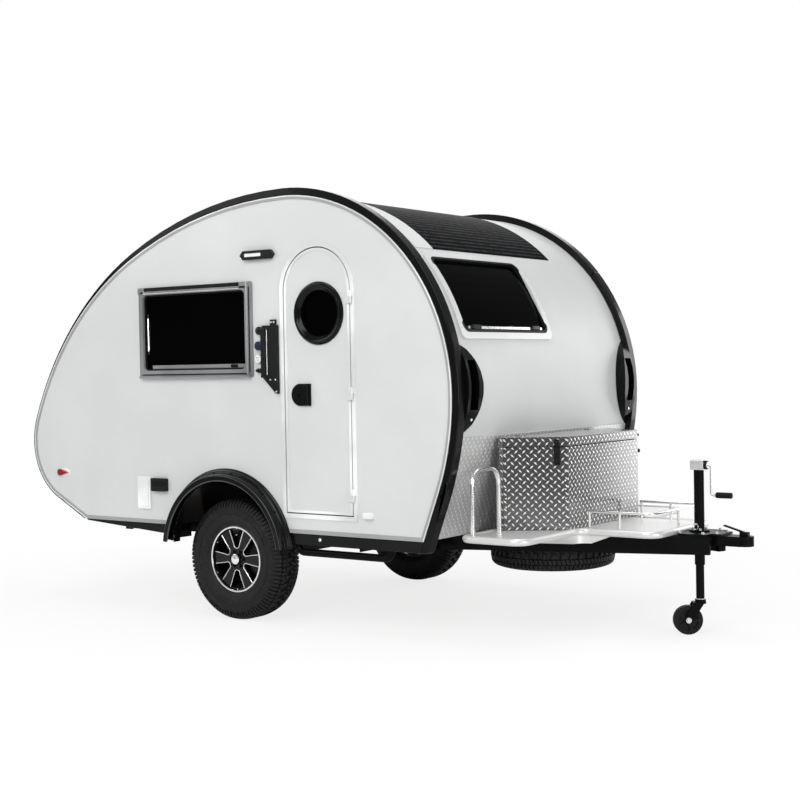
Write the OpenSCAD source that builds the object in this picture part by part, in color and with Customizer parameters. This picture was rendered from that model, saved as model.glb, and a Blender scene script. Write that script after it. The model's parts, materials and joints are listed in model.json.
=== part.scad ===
/* [Body] */
// Width over the side walls
body_w = 2000; // [1960:10:2060]
// Thickness of the side walls and of the door
wall_t = 40; // [32:1:46]
// Thickness of the roof, front and rear panels
skin_t = 35; // [26:1:42]
// Height of the lower edge of the walls above the ground
floor_z = 535; // [528:1:545]
// Thickness of the floor
floor_t = 40; // [30:1:50]
// Height of the highest point of the roof panel
apex_z = 2407; // [2390:1:2430]
// Distance of the highest point ahead of the axle
apex_x = 445; // [435:1:455]
// Radius of the roof and front, ahead of the highest point
brow_r = 1112; // [1100:1:1125]
// Radius of the front below its foremost point
chin_r = 1415; // [1390:5:1450]
// Radius of the roof just behind the highest point
roof_r = 2714; // [2690:2:2740]
// Radius of the long slope of the back
back_r = 1806; // [1795:1:1815]
// Radius of the turn under the tail
tail_r = 386; // [370:1:400]

/* [Edge trim] */
// Height of the black rails above the roof and front panels
rail_h = 42; // [30:1:50]
// Height of the rail where it thins out round the tail
strip_h = 9; // [6:1:14]
// Width of the rails across the trailer
rail_w = 62; // [50:1:80]
// Width of the bright moulding inside the rails
moulding_w = 22; // [14:1:28]
// How far trim stands out of the walls
trim_t = 4; // [2:1:6]
// Height of the black sills below the walls
sill_h = 62; // [50:1:70]

/* [Door] */
// Distance of the door's middle ahead of the axle
door_x = 674; // [664:1:684]
// Width over the door frame
door_w = 523; // [500:1:540]
// Height of the lower edge of the door frame
door_z0 = 619; // [610:1:630]
// Height of the top of the arched door frame
door_z1 = 2137; // [2110:1:2160]
// Width of the door frame's flange
door_flange = 25; // [20:1:30]
// Gap between the door leaf and the opening
door_gap = 6; // [5:1:8]
// Outer diameter of the porthole ring
porthole_d = 345; // [320:1:360]
// Glass diameter of the porthole
porthole_glass_d = 255; // [230:1:265]

/* [Windows] */
// Distance of the side windows' middle ahead of the axle
side_win_x = -243; // [-250:1:-236]
// Width over a side window's frame
side_win_w = 909; // [880:1:930]
// Height over a side window's frame
side_win_h = 542; // [520:1:560]
// Height of the middle of the side windows
side_win_z = 1675; // [1660:1:1690]
// Width of the frame round a window
win_frame = 46; // [38:1:54]
// Thickness of a window pane
pane_t = 6; // [4:1:8]
// Width over the front window's frame
front_win_w = 940; // [900:2:960]
// Height over the front window's frame
front_win_h = 536; // [510:1:550]
// Distance of the front window's frame from the right wall
front_win_edge = 108; // [100:1:116]
// Width over the rear window's frame
rear_win_w = 1100; // [1040:5:1160]
// Height over the rear window's frame
rear_win_h = 520; // [480:5:540]

/* [Wheels] */
// Outer diameter of the tyres
tyre_d = 704; // [690:1:716]
// Width of the tyres
tyre_w = 215; // [205:1:220]
// Outer diameter of the rims
rim_d = 412; // [400:1:420]
// Distance between the wheels' middle planes
track = 1752; // [1740:1:1764]
// Radius of the wheel arches
arch_r = 440; // [430:1:450]
// Distance of the arch's middle behind the axle
arch_back = 15; // [5:1:25]
// Height of the arch's middle
arch_z = 385; // [378:1:392]
// How far the fenders stand out of the walls
fender_out = 72; // [60:1:85]
// Radial width of the fenders
fender_w = 56; // [48:1:64]
// Diameter of the wheel spindles
spindle_d = 45; // [40:1:50]
// Diametral running clearance of hub on spindle
spindle_fit = 0.1; // [0.04:0.02:0.2]

/* [Frame and tongue] */
// Height of the lower side of the frame
frame_z0 = 437; // [430:1:445]
// Width of a frame rail
beam_w = 50; // [40:1:60]
// Sideways distance of the main rails' middle
beam_y = 560; // [550:1:575]
// Distance from the axle forward to where the rails turn inwards
tongue_x0 = 1100; // [1080:5:1130]
// Half distance between the rails' middles at the coupler
tongue_y1 = 78; // [72:1:84]
// Side of the square axle tube
axle_tube = 76; // [66:1:86]
// Distance of the axle tube ahead of the wheel axis
axle_lead = 150; // [135:1:165]
// Diameter of the hitch ball that the coupler takes
ball_d = 50.8; // [47.6:0.1:58.7]
// Diametral clearance of the coupler on the ball
ball_fit = 0.6; // [0.4:0.1:1]

/* [Front deck and tub] */
// Gap between the tub and the foremost point of the front panel
tub_gap = 18; // [14:1:24]
// Depth of the tub fore and aft
tub_d = 318; // [300:1:330]
// Width of the tub's front face
tub_front_w = 818; // [790:2:840]
// Width of the tub at the back
tub_back_w = 1180; // [1140:2:1200]
// Height of the gap below the tub's lid
lid_z = 1012; // [1000:1:1022]
// Height of the tub's lid
lid_h = 50; // [42:1:58]
// Sheet thickness of the tub and lid
sheet_t = 4; // [3:1:6]
// Diameter of the deck's edge tube
deck_tube = 38; // [34:1:42]
// How far the deck reaches out beyond the hoops
wing_over = 50; // [40:1:60]
// Half width of the deck ahead of the tub
basket_w = 340; // [320:1:360]
// Length of the deck ahead of the tub
basket_l = 470; // [450:2:490]
// Clear height between the hoops and the grab handles
hoop_drop = 168; // [150:1:190]
// Width of a hoop
hoop_w = 260; // [240:1:280]
// Gap between the hoops and the tub
hoop_clear = 17; // [12:1:24]
// Diameter of the hoop tubes
hoop_tube = 26; // [22:1:30]

/* [Jack] */
// Distance of the jack's axis ahead of the deck
jack_lead = 72; // [64:1:80]
// Outer diameter of the jack's fixed tube
jack_tube_d = 54; // [50:1:58]
// Outer diameter of the jack's leg
jack_leg_d = 44; // [40:1:45]
// Height of the lower end of the fixed tube
jack_z0 = 370; // [360:1:380]
// Height of the top of the fixed tube
jack_z1 = 875; // [860:1:890]
// Diameter of the jack wheel
jack_wheel_d = 154; // [146:1:160]
// Distance of the jack wheel's axle behind the swivel axis
caster_trail = 68; // [60:1:76]
// Angle at which the jack wheel stands
caster_yaw = 36; // [20:1:50]

/* [Hidden] */
$fn = 48;
half_w = body_w / 2;
in_w = half_w - wall_t;
// Overlap that carries a cut clean through a face
cut = 1;
// Diametral clearance of a piece that turns on a pin
pin_fit = 0.2;

// Columns of an arc table
RADIUS = 0;
TURN = 1;
// Entries of an outline
APEX = 0;
FRONT = 1;
REAR = 2;
// Angle between two stations on an outline
facet_a = 3;

// Arcs of the walls' outline from the apex: radius, turn in degrees
body_front = [[brow_r, 90], [chin_r, 21]];
body_rear = [[roof_r, 27], [back_r, 42], [tail_r, 84]];
front_turn = 111;
rear_turn = 153;
body = [apex_z, body_front, body_rear];

// The rails' outline thins from rail_h at the apex to strip_h where the turn under the tail begins
roof_turn = body_rear[0][TURN];
back_turn = roof_turn + body_rear[1][TURN];
rise = rail_h - strip_h * cos(back_turn);
reach = strip_h * sin(back_turn);
roof_sweep = [sin(roof_turn), 1 - cos(roof_turn)];
back_sweep = [sin(back_turn) - sin(roof_turn), cos(roof_turn) - cos(back_turn)];
sweep_area = roof_sweep[0] * back_sweep[1] - back_sweep[0] * roof_sweep[1];
roof_more = (reach * back_sweep[1] - back_sweep[0] * rise) / sweep_area;
back_more = (roof_sweep[0] * rise - roof_sweep[1] * reach) / sweep_area;
trim_front = [for (arc = body_front) [arc[RADIUS] + rail_h, arc[TURN]]];
trim_rear = [
    [roof_r + roof_more, body_rear[0][TURN]],
    [back_r + back_more, body_rear[1][TURN]],
    [tail_r + strip_h, body_rear[2][TURN]]
];
trim = [apex_z + rail_h, trim_front, trim_rear];

// Stations where panels meet, forward of the apex positive
seam_roof_front = 15;
seam_roof_rear = -27;
seam_apron = 99;
seam_rail = 51;

function bearing(a) = [sin(a), cos(a)];
function turned(arcs, i) = i == 0 ? 0 : turned(arcs, i - 1) + arcs[i - 1][TURN];
function centre(arcs, i) = i == 0 ? [0, -arcs[0][RADIUS]]
    : centre(arcs, i - 1) + (arcs[i - 1][RADIUS] - arcs[i][RADIUS]) * bearing(turned(arcs, i));
function arc_at(arcs, a, i = 0) =
    i == len(arcs) - 1 || a <= turned(arcs, i + 1) ? i : arc_at(arcs, a, i + 1);
function on_arcs(arcs, a, inset) =
    let (i = arc_at(arcs, a)) centre(arcs, i) + (arcs[i][RADIUS] - inset) * bearing(a);
// Point of an outline at a station, moved in by inset
function skin(shape, s, inset = 0) =
    let (p = on_arcs(s < 0 ? shape[REAR] : shape[FRONT], abs(s), inset))
    [apex_x + sign(s) * p[0], shape[APEX] + p[1]];
function run(shape, s0, s1, inset = 0) =
    let (n = round(abs(s1 - s0) / facet_a)) [for (k = [0 : n]) skin(shape, s0 + (s1 - s0) * k / n, inset)];
// Station nearest to an angle
function on_facet(a) = facet_a * round(a / facet_a);
// Point at height z on the straight that leaves an outline's last arc
function straight(shape, s, inset, z) =
    let (p = skin(shape, s, inset)) [p[0] + sign(s) * (p[1] - z) / tan(abs(s)), z];
function outline(shape, z, inset = 0) = concat(
    [straight(shape, -rear_turn, inset, z)],
    run(shape, -rear_turn, front_turn, inset),
    [straight(shape, front_turn, inset, z)]
);

// Places that follow from the sizes above
nose_x = apex_x + brow_r;
tub_x0 = nose_x + tub_gap;
tub_x1 = tub_x0 + tub_d;
deck_z = floor_z + deck_tube / 2;
plate_t = 4;
// The deck plate lies in the upper part of the edge tube
plate_up = 6;
plate_z = deck_z + plate_up;
deck_clear = 6;
wing_x0 = tub_x0 - deck_tube / 2 - deck_clear;
wing_x1 = tub_x1 + deck_tube / 2 + deck_clear;
basket_x1 = tub_x1 + basket_l;
hoop_y0 = tub_back_w / 2 + hoop_clear + hoop_tube / 2;
wing_w = hoop_y0 + hoop_w + wing_over;
jack_x = basket_x1 + deck_tube / 2 + jack_lead;
// From the jack to the coupler's foot and to its tip
coupler_lead = 95;
tip_lead = 300;
coupler_x0 = jack_x + coupler_lead;
tip_x = jack_x + tip_lead;
tongue_x1 = coupler_x0;
lamp_out = 26;
tail_x = skin(body, -90, -lamp_out)[0];
axle_z = tyre_d / 2;
wheel_y = track / 2;
arch_x = -arch_back;
sill_z0 = floor_z - sill_h;
// The axle stands behind the middle of the whole length
place_x = -(tip_x + tail_x) / 2;

module placed() translate([place_x, 0, 0]) children();
module both_sides() {
    children();
    mirror([0, 1, 0]) children();
}
// Plate from an outline in the side view, between two distances to the right
module side_plate(y0, y1) translate([0, -y0, 0]) rotate([90, 0, 0]) linear_extrude(y1 - y0) children();
// Across the whole width inside the walls
module across() side_plate(-in_w, in_w) children();
// Puts x along the trailer's left and z out of the skin at a station
module on_skin(s, inset = 0) {
    p = skin(body, s, inset);
    multmatrix([[0, -cos(s), sin(s), p[0]], [1, 0, 0, 0], [0, sin(s), cos(s), p[1]], [0, 0, 0, 1]])
        children();
}
module rounded(w, h, r) {
    for (x = [-1, 1], y = [-1, 1]) translate([x * (w / 2 - r), y * (h / 2 - r)]) circle(r);
    square([w, h - 2 * r], center = true);
    square([w - 2 * r, h], center = true);
}
module band(s0, s1, in0, in1) polygon(concat(run(body, s0, s1, in0), run(body, s1, s0, in1)));

// Round tube through points, bent to bend_r at each inner point
function unit(v) = v / norm(v);
function bend_cut(path, i, bend_r) =
    i == 0 || i == len(path) - 1 ? 0
    : let (a = unit(path[i] - path[i - 1]), b = unit(path[i + 1] - path[i])) bend_r * tan(acos(a * b) / 2);
module along(a, b) {
    w = unit(b - a);
    u = unit(cross(abs(w[2]) < 0.9 ? [0, 0, 1] : [1, 0, 0], w));
    v = cross(w, u);
    multmatrix([
        [u[0], v[0], w[0], a[0]], [u[1], v[1], w[1], a[1]], [u[2], v[2], w[2], a[2]], [0, 0, 0, 1]
    ]) children();
}
module elbow(path, i, tube_d, bend_r) {
    a = unit(path[i] - path[i - 1]);
    b = unit(path[i + 1] - path[i]);
    turn = acos(a * b);
    n = unit(cross(a, b));
    start = path[i] - a * bend_r * tan(turn / 2);
    inwards = cross(n, a);
    hub = start + inwards * bend_r;
    multmatrix([
        [-inwards[0], a[0], n[0], hub[0]], [-inwards[1], a[1], n[1], hub[1]],
        [-inwards[2], a[2], n[2], hub[2]], [0, 0, 0, 1]
    ])
        rotate_extrude(angle = turn) translate([bend_r, 0]) circle(d = tube_d);
}
module bent_tube(path, tube_d, bend_r) {
    for (i = [0 : len(path) - 2]) {
        d = unit(path[i + 1] - path[i]);
        a = path[i] + d * bend_cut(path, i, bend_r);
        b = path[i + 1] - d * bend_cut(path, i + 1, bend_r);
        along(a, b) cylinder(d = tube_d, h = norm(b - a));
    }
    if (len(path) > 2) for (i = [1 : len(path) - 2]) elbow(path, i, tube_d, bend_r);
}
// Closed ring of tube: starts and ends halfway along its first side
module ring_tube(path, tube_d, bend_r) {
    start = (path[0] + path[1]) / 2;
    bent_tube(concat([start], [for (i = [1 : len(path)]) path[i % len(path)]], [start]), tube_d, bend_r);
}

// Ladder frame whose rails turn in to the coupler
beam_h = floor_z - frame_z0;
// The frame ends ahead of the tail; its cross members stand in from its ends
frame_in = 60;
frame_x0 = straight(body, -rear_turn, 0, floor_z)[0] + frame_in;
tongue_a = atan2(beam_y - tongue_y1, tongue_x1 - tongue_x0);
knee = beam_w / 2 * tan(tongue_a / 2);
function tongue_end(side) = [tongue_x1, -tongue_y1] + side * beam_w / 2 * [-sin(tongue_a), cos(tongue_a)];
// Middles of the cross members along the trailer
cross_x = [frame_x0 + 30, -430, axle_lead + 120, tongue_x0 - 80];
cross_w = 40;
module frame_rail() translate([0, 0, frame_z0]) linear_extrude(beam_h) polygon([
    [frame_x0, -beam_y - beam_w / 2], [tongue_x0 + knee, -beam_y - beam_w / 2], tongue_end(-1), tongue_end(1),
    [tongue_x0 - knee, -beam_y + beam_w / 2], [frame_x0, -beam_y + beam_w / 2]
]);
module frame() placed() color("#17181a") {
    both_sides() frame_rail();
    for (x = cross_x) translate([x - cross_w / 2, -beam_y, frame_z0]) cube([cross_w, 2 * beam_y, beam_h]);
    outriggers();
    head_plate();
    spare_hanger();
}
// Plates that carry the stabilisers outside the main rails
stab_y = 700;
stab_w = 44;
stab_front_x = 1210;
stab_rear_x = frame_x0 + 40;
stab_lug_t = 10;
stab_gap = 5;
stab_z = frame_z0 + 36;
stab_pin_d = 16;
stab_lug_y = (stab_w + stab_lug_t) / 2 + stab_gap;
outrigger_t = 30;
outrigger_w = 60;
lug_drop = 26;
stab_out_y = stab_y + stab_lug_y + stab_lug_t / 2;
outrigger_in_y = beam_y - (stab_front_x - tongue_x0) * tan(tongue_a);
module outriggers() both_sides() for (x = [stab_front_x, stab_rear_x]) {
    translate([x - outrigger_w / 2, -stab_out_y, floor_z - outrigger_t])
        cube([outrigger_w, stab_out_y - outrigger_in_y, outrigger_t]);
    for (y = [-1, 1])
        translate([x - outrigger_w / 2, -stab_y + y * stab_lug_y - stab_lug_t / 2, stab_z - lug_drop])
            cube([outrigger_w, stab_lug_t, floor_z - stab_z + lug_drop]);
    translate([x, -stab_y, stab_z]) rotate([90, 0, 0])
        cylinder(d = stab_pin_d, h = 2 * stab_lug_y, center = true);
}
// Plate across the tongue that takes the jack and the coupler
head_t = 12;
head_x0 = basket_x1 + deck_tube / 2 + deck_clear;
head_over = 30;
head_w = 2 * (tongue_y1 + head_over) + beam_w;
module head_plate() difference() {
    translate([head_x0, -head_w / 2, floor_z]) cube([coupler_x0 - head_x0, head_w, head_t]);
    translate([jack_x, 0, floor_z - cut]) cylinder(d = jack_tube_d, h = head_t + 2 * cut);
}

// Bar across the tongue that holds the spare wheel up by its middle
hanger_t = 8;
hanger_w = 60;
hanger_bolt_d = 24;
hanger_plate_d = 130;
module spare_hanger() {
    y = beam_y - (spare_x - tongue_x0) * tan(tongue_a);
    z0 = spare_z - face_z - face_t - hanger_t;
    translate([spare_x - hanger_w / 2, -y, floor_z - hanger_t]) cube([hanger_w, 2 * y, hanger_t]);
    translate([spare_x, 0, z0]) cylinder(d = hanger_bolt_d, h = floor_z - z0);
    translate([spare_x, 0, z0]) cylinder(d = hanger_plate_d, h = hanger_t);
}

// Torsion axle with trailing arms and wheel spindles
arm_t = 30;
arm_w = 70;
// The hub's inner end, the gap to the arm and the spindle's reach beyond the wheel's middle plane
hub_in = 120;
arm_gap = 10;
spindle_reach = 40;
hub_in_y = wheel_y - hub_in;
arm_y = hub_in_y - arm_t - arm_gap;
spindle_out_y = wheel_y + spindle_reach;
axle_tube_z = frame_z0 - axle_tube / 2;
module axle() placed() color("#1c1d1f") {
    translate([axle_lead - axle_tube / 2, -arm_y, frame_z0 - axle_tube])
        cube([axle_tube, 2 * arm_y, axle_tube]);
    both_sides() {
        side_plate(arm_y, arm_y + arm_t) hull() {
            translate([axle_lead, axle_tube_z]) circle(d = arm_w, $fn = 32);
            translate([0, axle_z]) circle(d = arm_w, $fn = 32);
        }
        translate([0, -arm_y - arm_t, axle_z]) rotate([90, 0, 0])
            cylinder(d = spindle_d, h = spindle_out_y - arm_y - arm_t);
    }
}

// Cast coupler with its ball socket and latch lever
coupler_w = 2 * tongue_y1 - beam_w;
coupler_h = 52;
coupler_z0 = floor_z - coupler_h;
socket_d = ball_d + ball_fit;
nose_r = 48;
socket_x = tip_x - nose_r;
socket_wall = 12;
coupler_flange = 22;
flange_l = 60;
latch_block_l = 46;
latch_block_w = 30;
latch_block_h = 22;
lever_l = 118;
lever_w = 22;
lever_t = 7;
lever_a = 16;
module coupler() placed() color("#1a1b1d") difference() {
    union() {
        translate([coupler_x0, -coupler_w / 2, coupler_z0])
            cube([socket_x - coupler_x0, coupler_w, coupler_h]);
        translate([socket_x, 0, coupler_z0]) cylinder(r = nose_r, h = coupler_h);
        translate([coupler_x0, -coupler_w / 2 - coupler_flange, floor_z])
            cube([flange_l, coupler_w + 2 * coupler_flange, head_t]);
        translate([socket_x - latch_block_l / 2, -latch_block_w / 2, floor_z])
            cube([latch_block_l, latch_block_w, latch_block_h]);
        translate([socket_x, -lever_w / 2, floor_z + latch_block_h - lever_t]) rotate([0, lever_a, 0])
            translate([-lever_l, 0, 0]) cube([lever_l, lever_w, lever_t]);
    }
    translate([socket_x, 0, coupler_z0 - cut]) cylinder(d = socket_d, h = coupler_h - socket_wall + cut);
}

// Floor between the panels, open over the wheels
well_gap = 4;
well_room = 50;
well_in_y = wheel_y - tyre_w / 2 - well_room;
module floor_outline() intersection() {
    polygon(outline(body, floor_z, skin_t));
    translate([tail_x, floor_z]) square([tip_x - tail_x, floor_t]);
}
module floor() placed() color("#8f8371") difference() {
    across() floor_outline();
    both_sides() translate([arch_x, -well_in_y, arch_z]) rotate([90, 0, 0])
        cylinder(r = arch_r + well_gap, h = half_w);
}
module wheel_wells() placed() color("#202124") both_sides() difference() {
    translate([arch_x, -well_in_y, arch_z]) rotate([90, 0, 0])
        cylinder(r = arch_r + well_gap, h = in_w - well_in_y);
    translate([arch_x, -well_in_y - well_gap, arch_z]) rotate([90, 0, 0]) cylinder(r = arch_r, h = half_w);
    translate([arch_x - half_w, -half_w - cut, floor_z - 2 * arch_r]) cube([2 * half_w, half_w, 2 * arch_r]);
}

// Side walls with their openings
door_r = door_w / 2;
leaf_w = door_w - 2 * door_flange - 2 * door_gap;
module door_outline(w) {
    drop = (door_w - w) / 2;
    z0 = door_z0 + drop;
    spring = door_z1 - door_r;
    translate([door_x - w / 2, z0]) square([w, spring - z0]);
    translate([door_x, spring]) circle(d = w);
}
door_hole_w = door_w - 2 * door_flange;
// Corner radius of the side windows' holes
hole_r = 30;
module side_window_hole() translate([side_win_x, side_win_z])
    rounded(side_win_w - 2 * win_frame, side_win_h - 2 * win_frame, hole_r);
module arch_hole() translate([arch_x, arch_z]) circle(r = arch_r);
module wall_outline() difference() {
    polygon(outline(body, floor_z));
    side_window_hole();
    arch_hole();
}
module wall_right() placed() color("#e9eaec") side_plate(in_w, half_w) difference() {
    wall_outline();
    door_outline(door_hole_w);
}
module wall_left() placed() color("#e9eaec") mirror([0, 1, 0]) side_plate(in_w, half_w) wall_outline();

// Curved panels between the walls
front_win_s = 61;
front_win_y = front_win_edge - in_w + front_win_w / 2;
rear_win_s = -57;
win_r = 45;
win_deep = 120;
module window_cut(s, w, h, y = 0) on_skin(s) translate([y, 0, -win_deep]) linear_extrude(2 * win_deep)
    rounded(w, h, win_r);
module front_window_cut()
    window_cut(front_win_s, front_win_w - 2 * win_frame, front_win_h - 2 * win_frame, front_win_y);
module rear_window_cut()
    window_cut(rear_win_s, rear_win_w - 2 * win_frame, rear_win_h - 2 * win_frame);
module front_panel() placed() color("#c9cbce") difference() {
    across() band(seam_roof_front, seam_apron, 0, skin_t);
    front_window_cut();
}
// Lip along the apron's top, between the rails
apron_lip = 8;
lip_clear = 2;
module apron() placed() color("#b4b7ba") {
    across() polygon(concat(
        run(body, seam_apron, front_turn),
        [straight(body, front_turn, 0, floor_z), straight(body, front_turn, skin_t, floor_z)],
        run(body, front_turn, seam_apron, skin_t)
    ));
    side_plate(lip_clear - rail_y0, rail_y0 - lip_clear)
        band(seam_apron, seam_apron + facet_a, -apron_lip, cut);
}
module roof_panel() placed() color("#c9cbce") across() band(seam_roof_rear, seam_roof_front, 0, skin_t);
module rear_panel() placed() color("#c9cbce") difference() {
    across() polygon(concat(
        run(body, seam_roof_rear, -rear_turn),
        [straight(body, -rear_turn, 0, floor_z), straight(body, -rear_turn, skin_t, floor_z)],
        run(body, -rear_turn, seam_roof_rear, skin_t)
    ));
    rear_window_cut();
}

// Black rails on the edges of the roof, back and front
rail_y0 = half_w - rail_w;
rail_y1 = half_w + trim_t;
module roof_rails() placed() color("#141517") both_sides() side_plate(rail_y0, rail_y1) polygon(concat(
    [straight(trim, -rear_turn, 0, floor_z)],
    run(trim, -rear_turn, seam_rail),
    run(body, seam_rail, -rear_turn),
    [straight(body, -rear_turn, 0, floor_z)]
));
module front_rails() placed() color("#0e0f10") both_sides() side_plate(rail_y0, rail_y1) polygon(concat(
    run(trim, seam_rail, front_turn),
    [straight(trim, front_turn, 0, sill_z0), straight(body, front_turn, 0, sill_z0)],
    run(body, front_turn, seam_rail)
));
moulding_t = trim_t - 1;
module moulding_outline() difference() {
    polygon(outline(body, floor_z));
    polygon(outline(body, floor_z + moulding_w, moulding_w));
    translate([arch_x, arch_z]) circle(r = arch_r + fender_w);
}
module edge_mouldings() placed() color("#d4d6d9") both_sides() side_plate(half_w, half_w + moulding_t)
    moulding_outline();
sill_end_h = 10;
module sills() placed() color("#121315") both_sides() side_plate(in_w, half_w) difference() {
    tail = straight(body, -rear_turn, 0, floor_z);
    polygon([
        tail, straight(body, front_turn, 0, floor_z), straight(body, front_turn, 0, sill_z0),
        [arch_x - arch_r, sill_z0], [tail[0] + sill_end_h, floor_z - sill_end_h]
    ]);
    arch_hole();
}

// Fender flare swept round the arch: radius beyond the arch, distance from the wall
fender_edge = 9;
fender_shell = 9;
fender_section = [
    [0, 0], [fender_w, 0], [fender_w, fender_edge], [fender_w - 7, fender_edge + 5],
    [fender_w - 12, fender_out * 0.42], [fender_w - 18, fender_out * 0.48],
    [fender_w - 26, fender_out * 0.52],
    [fender_w - 30, fender_out * 0.78], [fender_w - 34, fender_out - 4], [fender_w - 40, fender_out],
    [-fender_edge, fender_out], [-fender_edge, fender_out - fender_shell],
    [fender_w - 46, fender_out - fender_shell], [fender_w - 40, fender_out * 0.7],
    [fender_w - 38, fender_out * 0.42], [fender_w - 28, fender_out * 0.36],
    [fender_w - 20, fender_edge], [0, fender_edge]
];
fender_a0 = 7;
fender_clear = 3;
module fenders() placed() color("#101113") both_sides()
    translate([arch_x, -half_w, arch_z]) rotate([90, 0, 0]) rotate(fender_a0)
        rotate_extrude(angle = 180 - 2 * fender_a0) polygon([for (p = fender_section) [arch_r + p[0], p[1]]]);

// Step tubes under the sills ahead of the wheels
step_d = 42;
step_in = 40;
step_drop = 46;
step_lead = 60;
step_y = half_w - step_in;
step_z = sill_z0 - step_drop;
step_x0 = arch_x + arch_r + step_lead;
step_l = 640;
step_bend = 40;
step_x1 = step_x0 + step_l;
module step_bars() placed() color("#131416") both_sides() bent_tube([
    [step_x0, -step_y, sill_z0], [step_x0, -step_y, step_z],
    [step_x1, -step_y, step_z], [step_x1, -step_y, sill_z0]
], step_d, step_bend);

// Door with its frame, porthole and handle
door_hinge_d = 14;
// The hinge axis stands out of the wall and beside the opening
hinge_out = 14;
hinge_side = 8;
door_axis_y = half_w + hinge_out;
door_axis_x = door_x + door_hole_w / 2 + hinge_side;
// Heights of the door hinges
door_hinge_z = [760, 1310, 1830];
hinge_l = 70;
hinge_foot = 14;
knuckle_in = 3;
hinge_arm = 34;
hinge_pad = 16;
hinge_gap = 1;
module door_frame() placed() color("#f2f3f4") {
    side_plate(half_w, half_w + trim_t) difference() {
        door_outline(door_w);
        door_outline(door_hole_w);
        translate([arch_x, arch_z]) circle(r = arch_r + fender_w + fender_clear);
    }
    for (z = door_hinge_z) {
        translate([door_axis_x, -door_axis_y, z]) cylinder(d = door_hinge_d, h = hinge_l / 2 - hinge_gap);
        translate([door_axis_x - knuckle_in, -door_axis_y, z])
            cube([hinge_foot, hinge_out, hinge_l / 2 - hinge_gap]);
    }
}
porthole_lead = 16;
handle_back = 120;
porthole_x = door_x + porthole_lead;
porthole_z = 1748;
handle_x = door_x - handle_back;
handle_z = 1303;
module at_porthole() translate([porthole_x, porthole_z]) children();
module door_leaf() placed() color("#e9eaec") {
    side_plate(in_w, half_w) difference() {
        door_outline(leaf_w);
        at_porthole() circle(d = porthole_hole_d);
    }
    for (z = door_hinge_z) {
        translate([door_axis_x, -door_axis_y, z - hinge_l / 2]) cylinder(d = door_hinge_d, h = hinge_l / 2);
        translate([door_axis_x - hinge_arm, -door_axis_y, z - hinge_l / 2]) {
            cube([hinge_arm, trim_t, hinge_l / 2]);
            cube([hinge_pad, hinge_out, hinge_l / 2]);
        }
    }
}
porthole_out = 18;
porthole_tube = 9;
porthole_hole_d = porthole_glass_d + 2 * porthole_tube;
// Depth of the glass behind the wall's face
glass_in = 27;
porthole_r = porthole_d / 2;
glass_r = porthole_glass_d / 2;
// Section of the ring: radius, height from the wall's face
porthole_section = [
    [glass_r, -wall_t], [porthole_hole_d / 2, -wall_t], [porthole_hole_d / 2, 0], [porthole_r, 0],
    [porthole_r, porthole_out * 0.35], [porthole_r - 8, porthole_out * 0.85], [porthole_r - 16, porthole_out],
    [porthole_r - 24, porthole_out * 0.9], [glass_r + 8, porthole_out * 0.3], [glass_r, 0]
];
module on_porthole() placed() translate([porthole_x, -half_w, porthole_z]) rotate([90, 0, 0]) children();
module porthole_ring() color("#111214") on_porthole() rotate_extrude($fn = 64) polygon(porthole_section);
module porthole_glass() color("#0a0b0d") on_porthole() translate([0, 0, -glass_in])
    cylinder(r = glass_r, h = pane_t);
// Paddle latch with a round back, a lock barrel and a straight paddle
handle_r = 61;
handle_l = 74;
handle_t = 10;
handle_rim = 8;
paddle_l = 38;
paddle_out = 26;
lock_d = 26;
lock_out = 18;
module handle_shape(r, l) {
    circle(r);
    translate([0, -r]) square([l, 2 * r]);
}
module door_handle() placed() color("#151618") {
    side_plate(half_w, half_w + handle_t) translate([handle_x, handle_z]) handle_shape(handle_r, handle_l);
    side_plate(half_w, half_w + paddle_out)
        translate([handle_x + handle_l - paddle_l - handle_rim, handle_z - handle_r + handle_rim])
            square([paddle_l, 2 * (handle_r - handle_rim)]);
    side_plate(half_w, half_w + lock_out) translate([handle_x - handle_r / 3, handle_z]) circle(d = lock_d);
}

// Window frames and panes
frame_out = 14;
// Half span of a curved window in degrees, more than any frame takes
win_reach = 22;
pane_in = 4;
pane_reach = 19;
flange_out = 8;
win_corner = 14;
// Raised sash round the hole and the ledge below it
sash_w = 22;
sash_out = 22;
ledge_h = 14;
ledge_out = 28;
module side_window_frame() translate([side_win_x, 0, side_win_z]) difference() {
    border = 2 * (win_frame - sash_w);
    union() {
        side_plate(half_w, half_w + flange_out) rounded(side_win_w, side_win_h, win_corner);
        side_plate(half_w, half_w + sash_out) rounded(side_win_w - border, side_win_h - border, win_corner);
        side_plate(half_w, half_w + ledge_out) translate([win_corner - side_win_w / 2, -side_win_h / 2])
            square([side_win_w - 2 * win_corner, ledge_h]);
    }
    side_plate(half_w - cut, half_w + ledge_out + cut)
        rounded(side_win_w - 2 * win_frame, side_win_h - 2 * win_frame, hole_r);
}
module skin_window_frame(s, w, h, y) difference() {
    intersection() {
        across() band(on_facet(s - win_reach), on_facet(s + win_reach), -frame_out, 0);
        window_cut(s, w, h, y);
    }
    window_cut(s, w - 2 * win_frame, h - 2 * win_frame, y);
}
module window_frames() placed() color("#8b8e92") both_sides() side_window_frame();
module end_window_frames() placed() color("#d9dbdd") {
    skin_window_frame(front_win_s, front_win_w, front_win_h, front_win_y);
    skin_window_frame(rear_win_s, rear_win_w, rear_win_h, 0);
}
module pane_band(s) across()
    band(on_facet(s - pane_reach), on_facet(s + pane_reach), pane_in, pane_in + pane_t);
module window_panes() placed() color("#08090a") {
    both_sides() side_plate(half_w - pane_in - pane_t, half_w - pane_in) side_window_hole();
    intersection() {
        pane_band(front_win_s);
        front_window_cut();
    }
    intersection() {
        pane_band(rear_win_s);
        rear_window_cut();
    }
}

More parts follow.
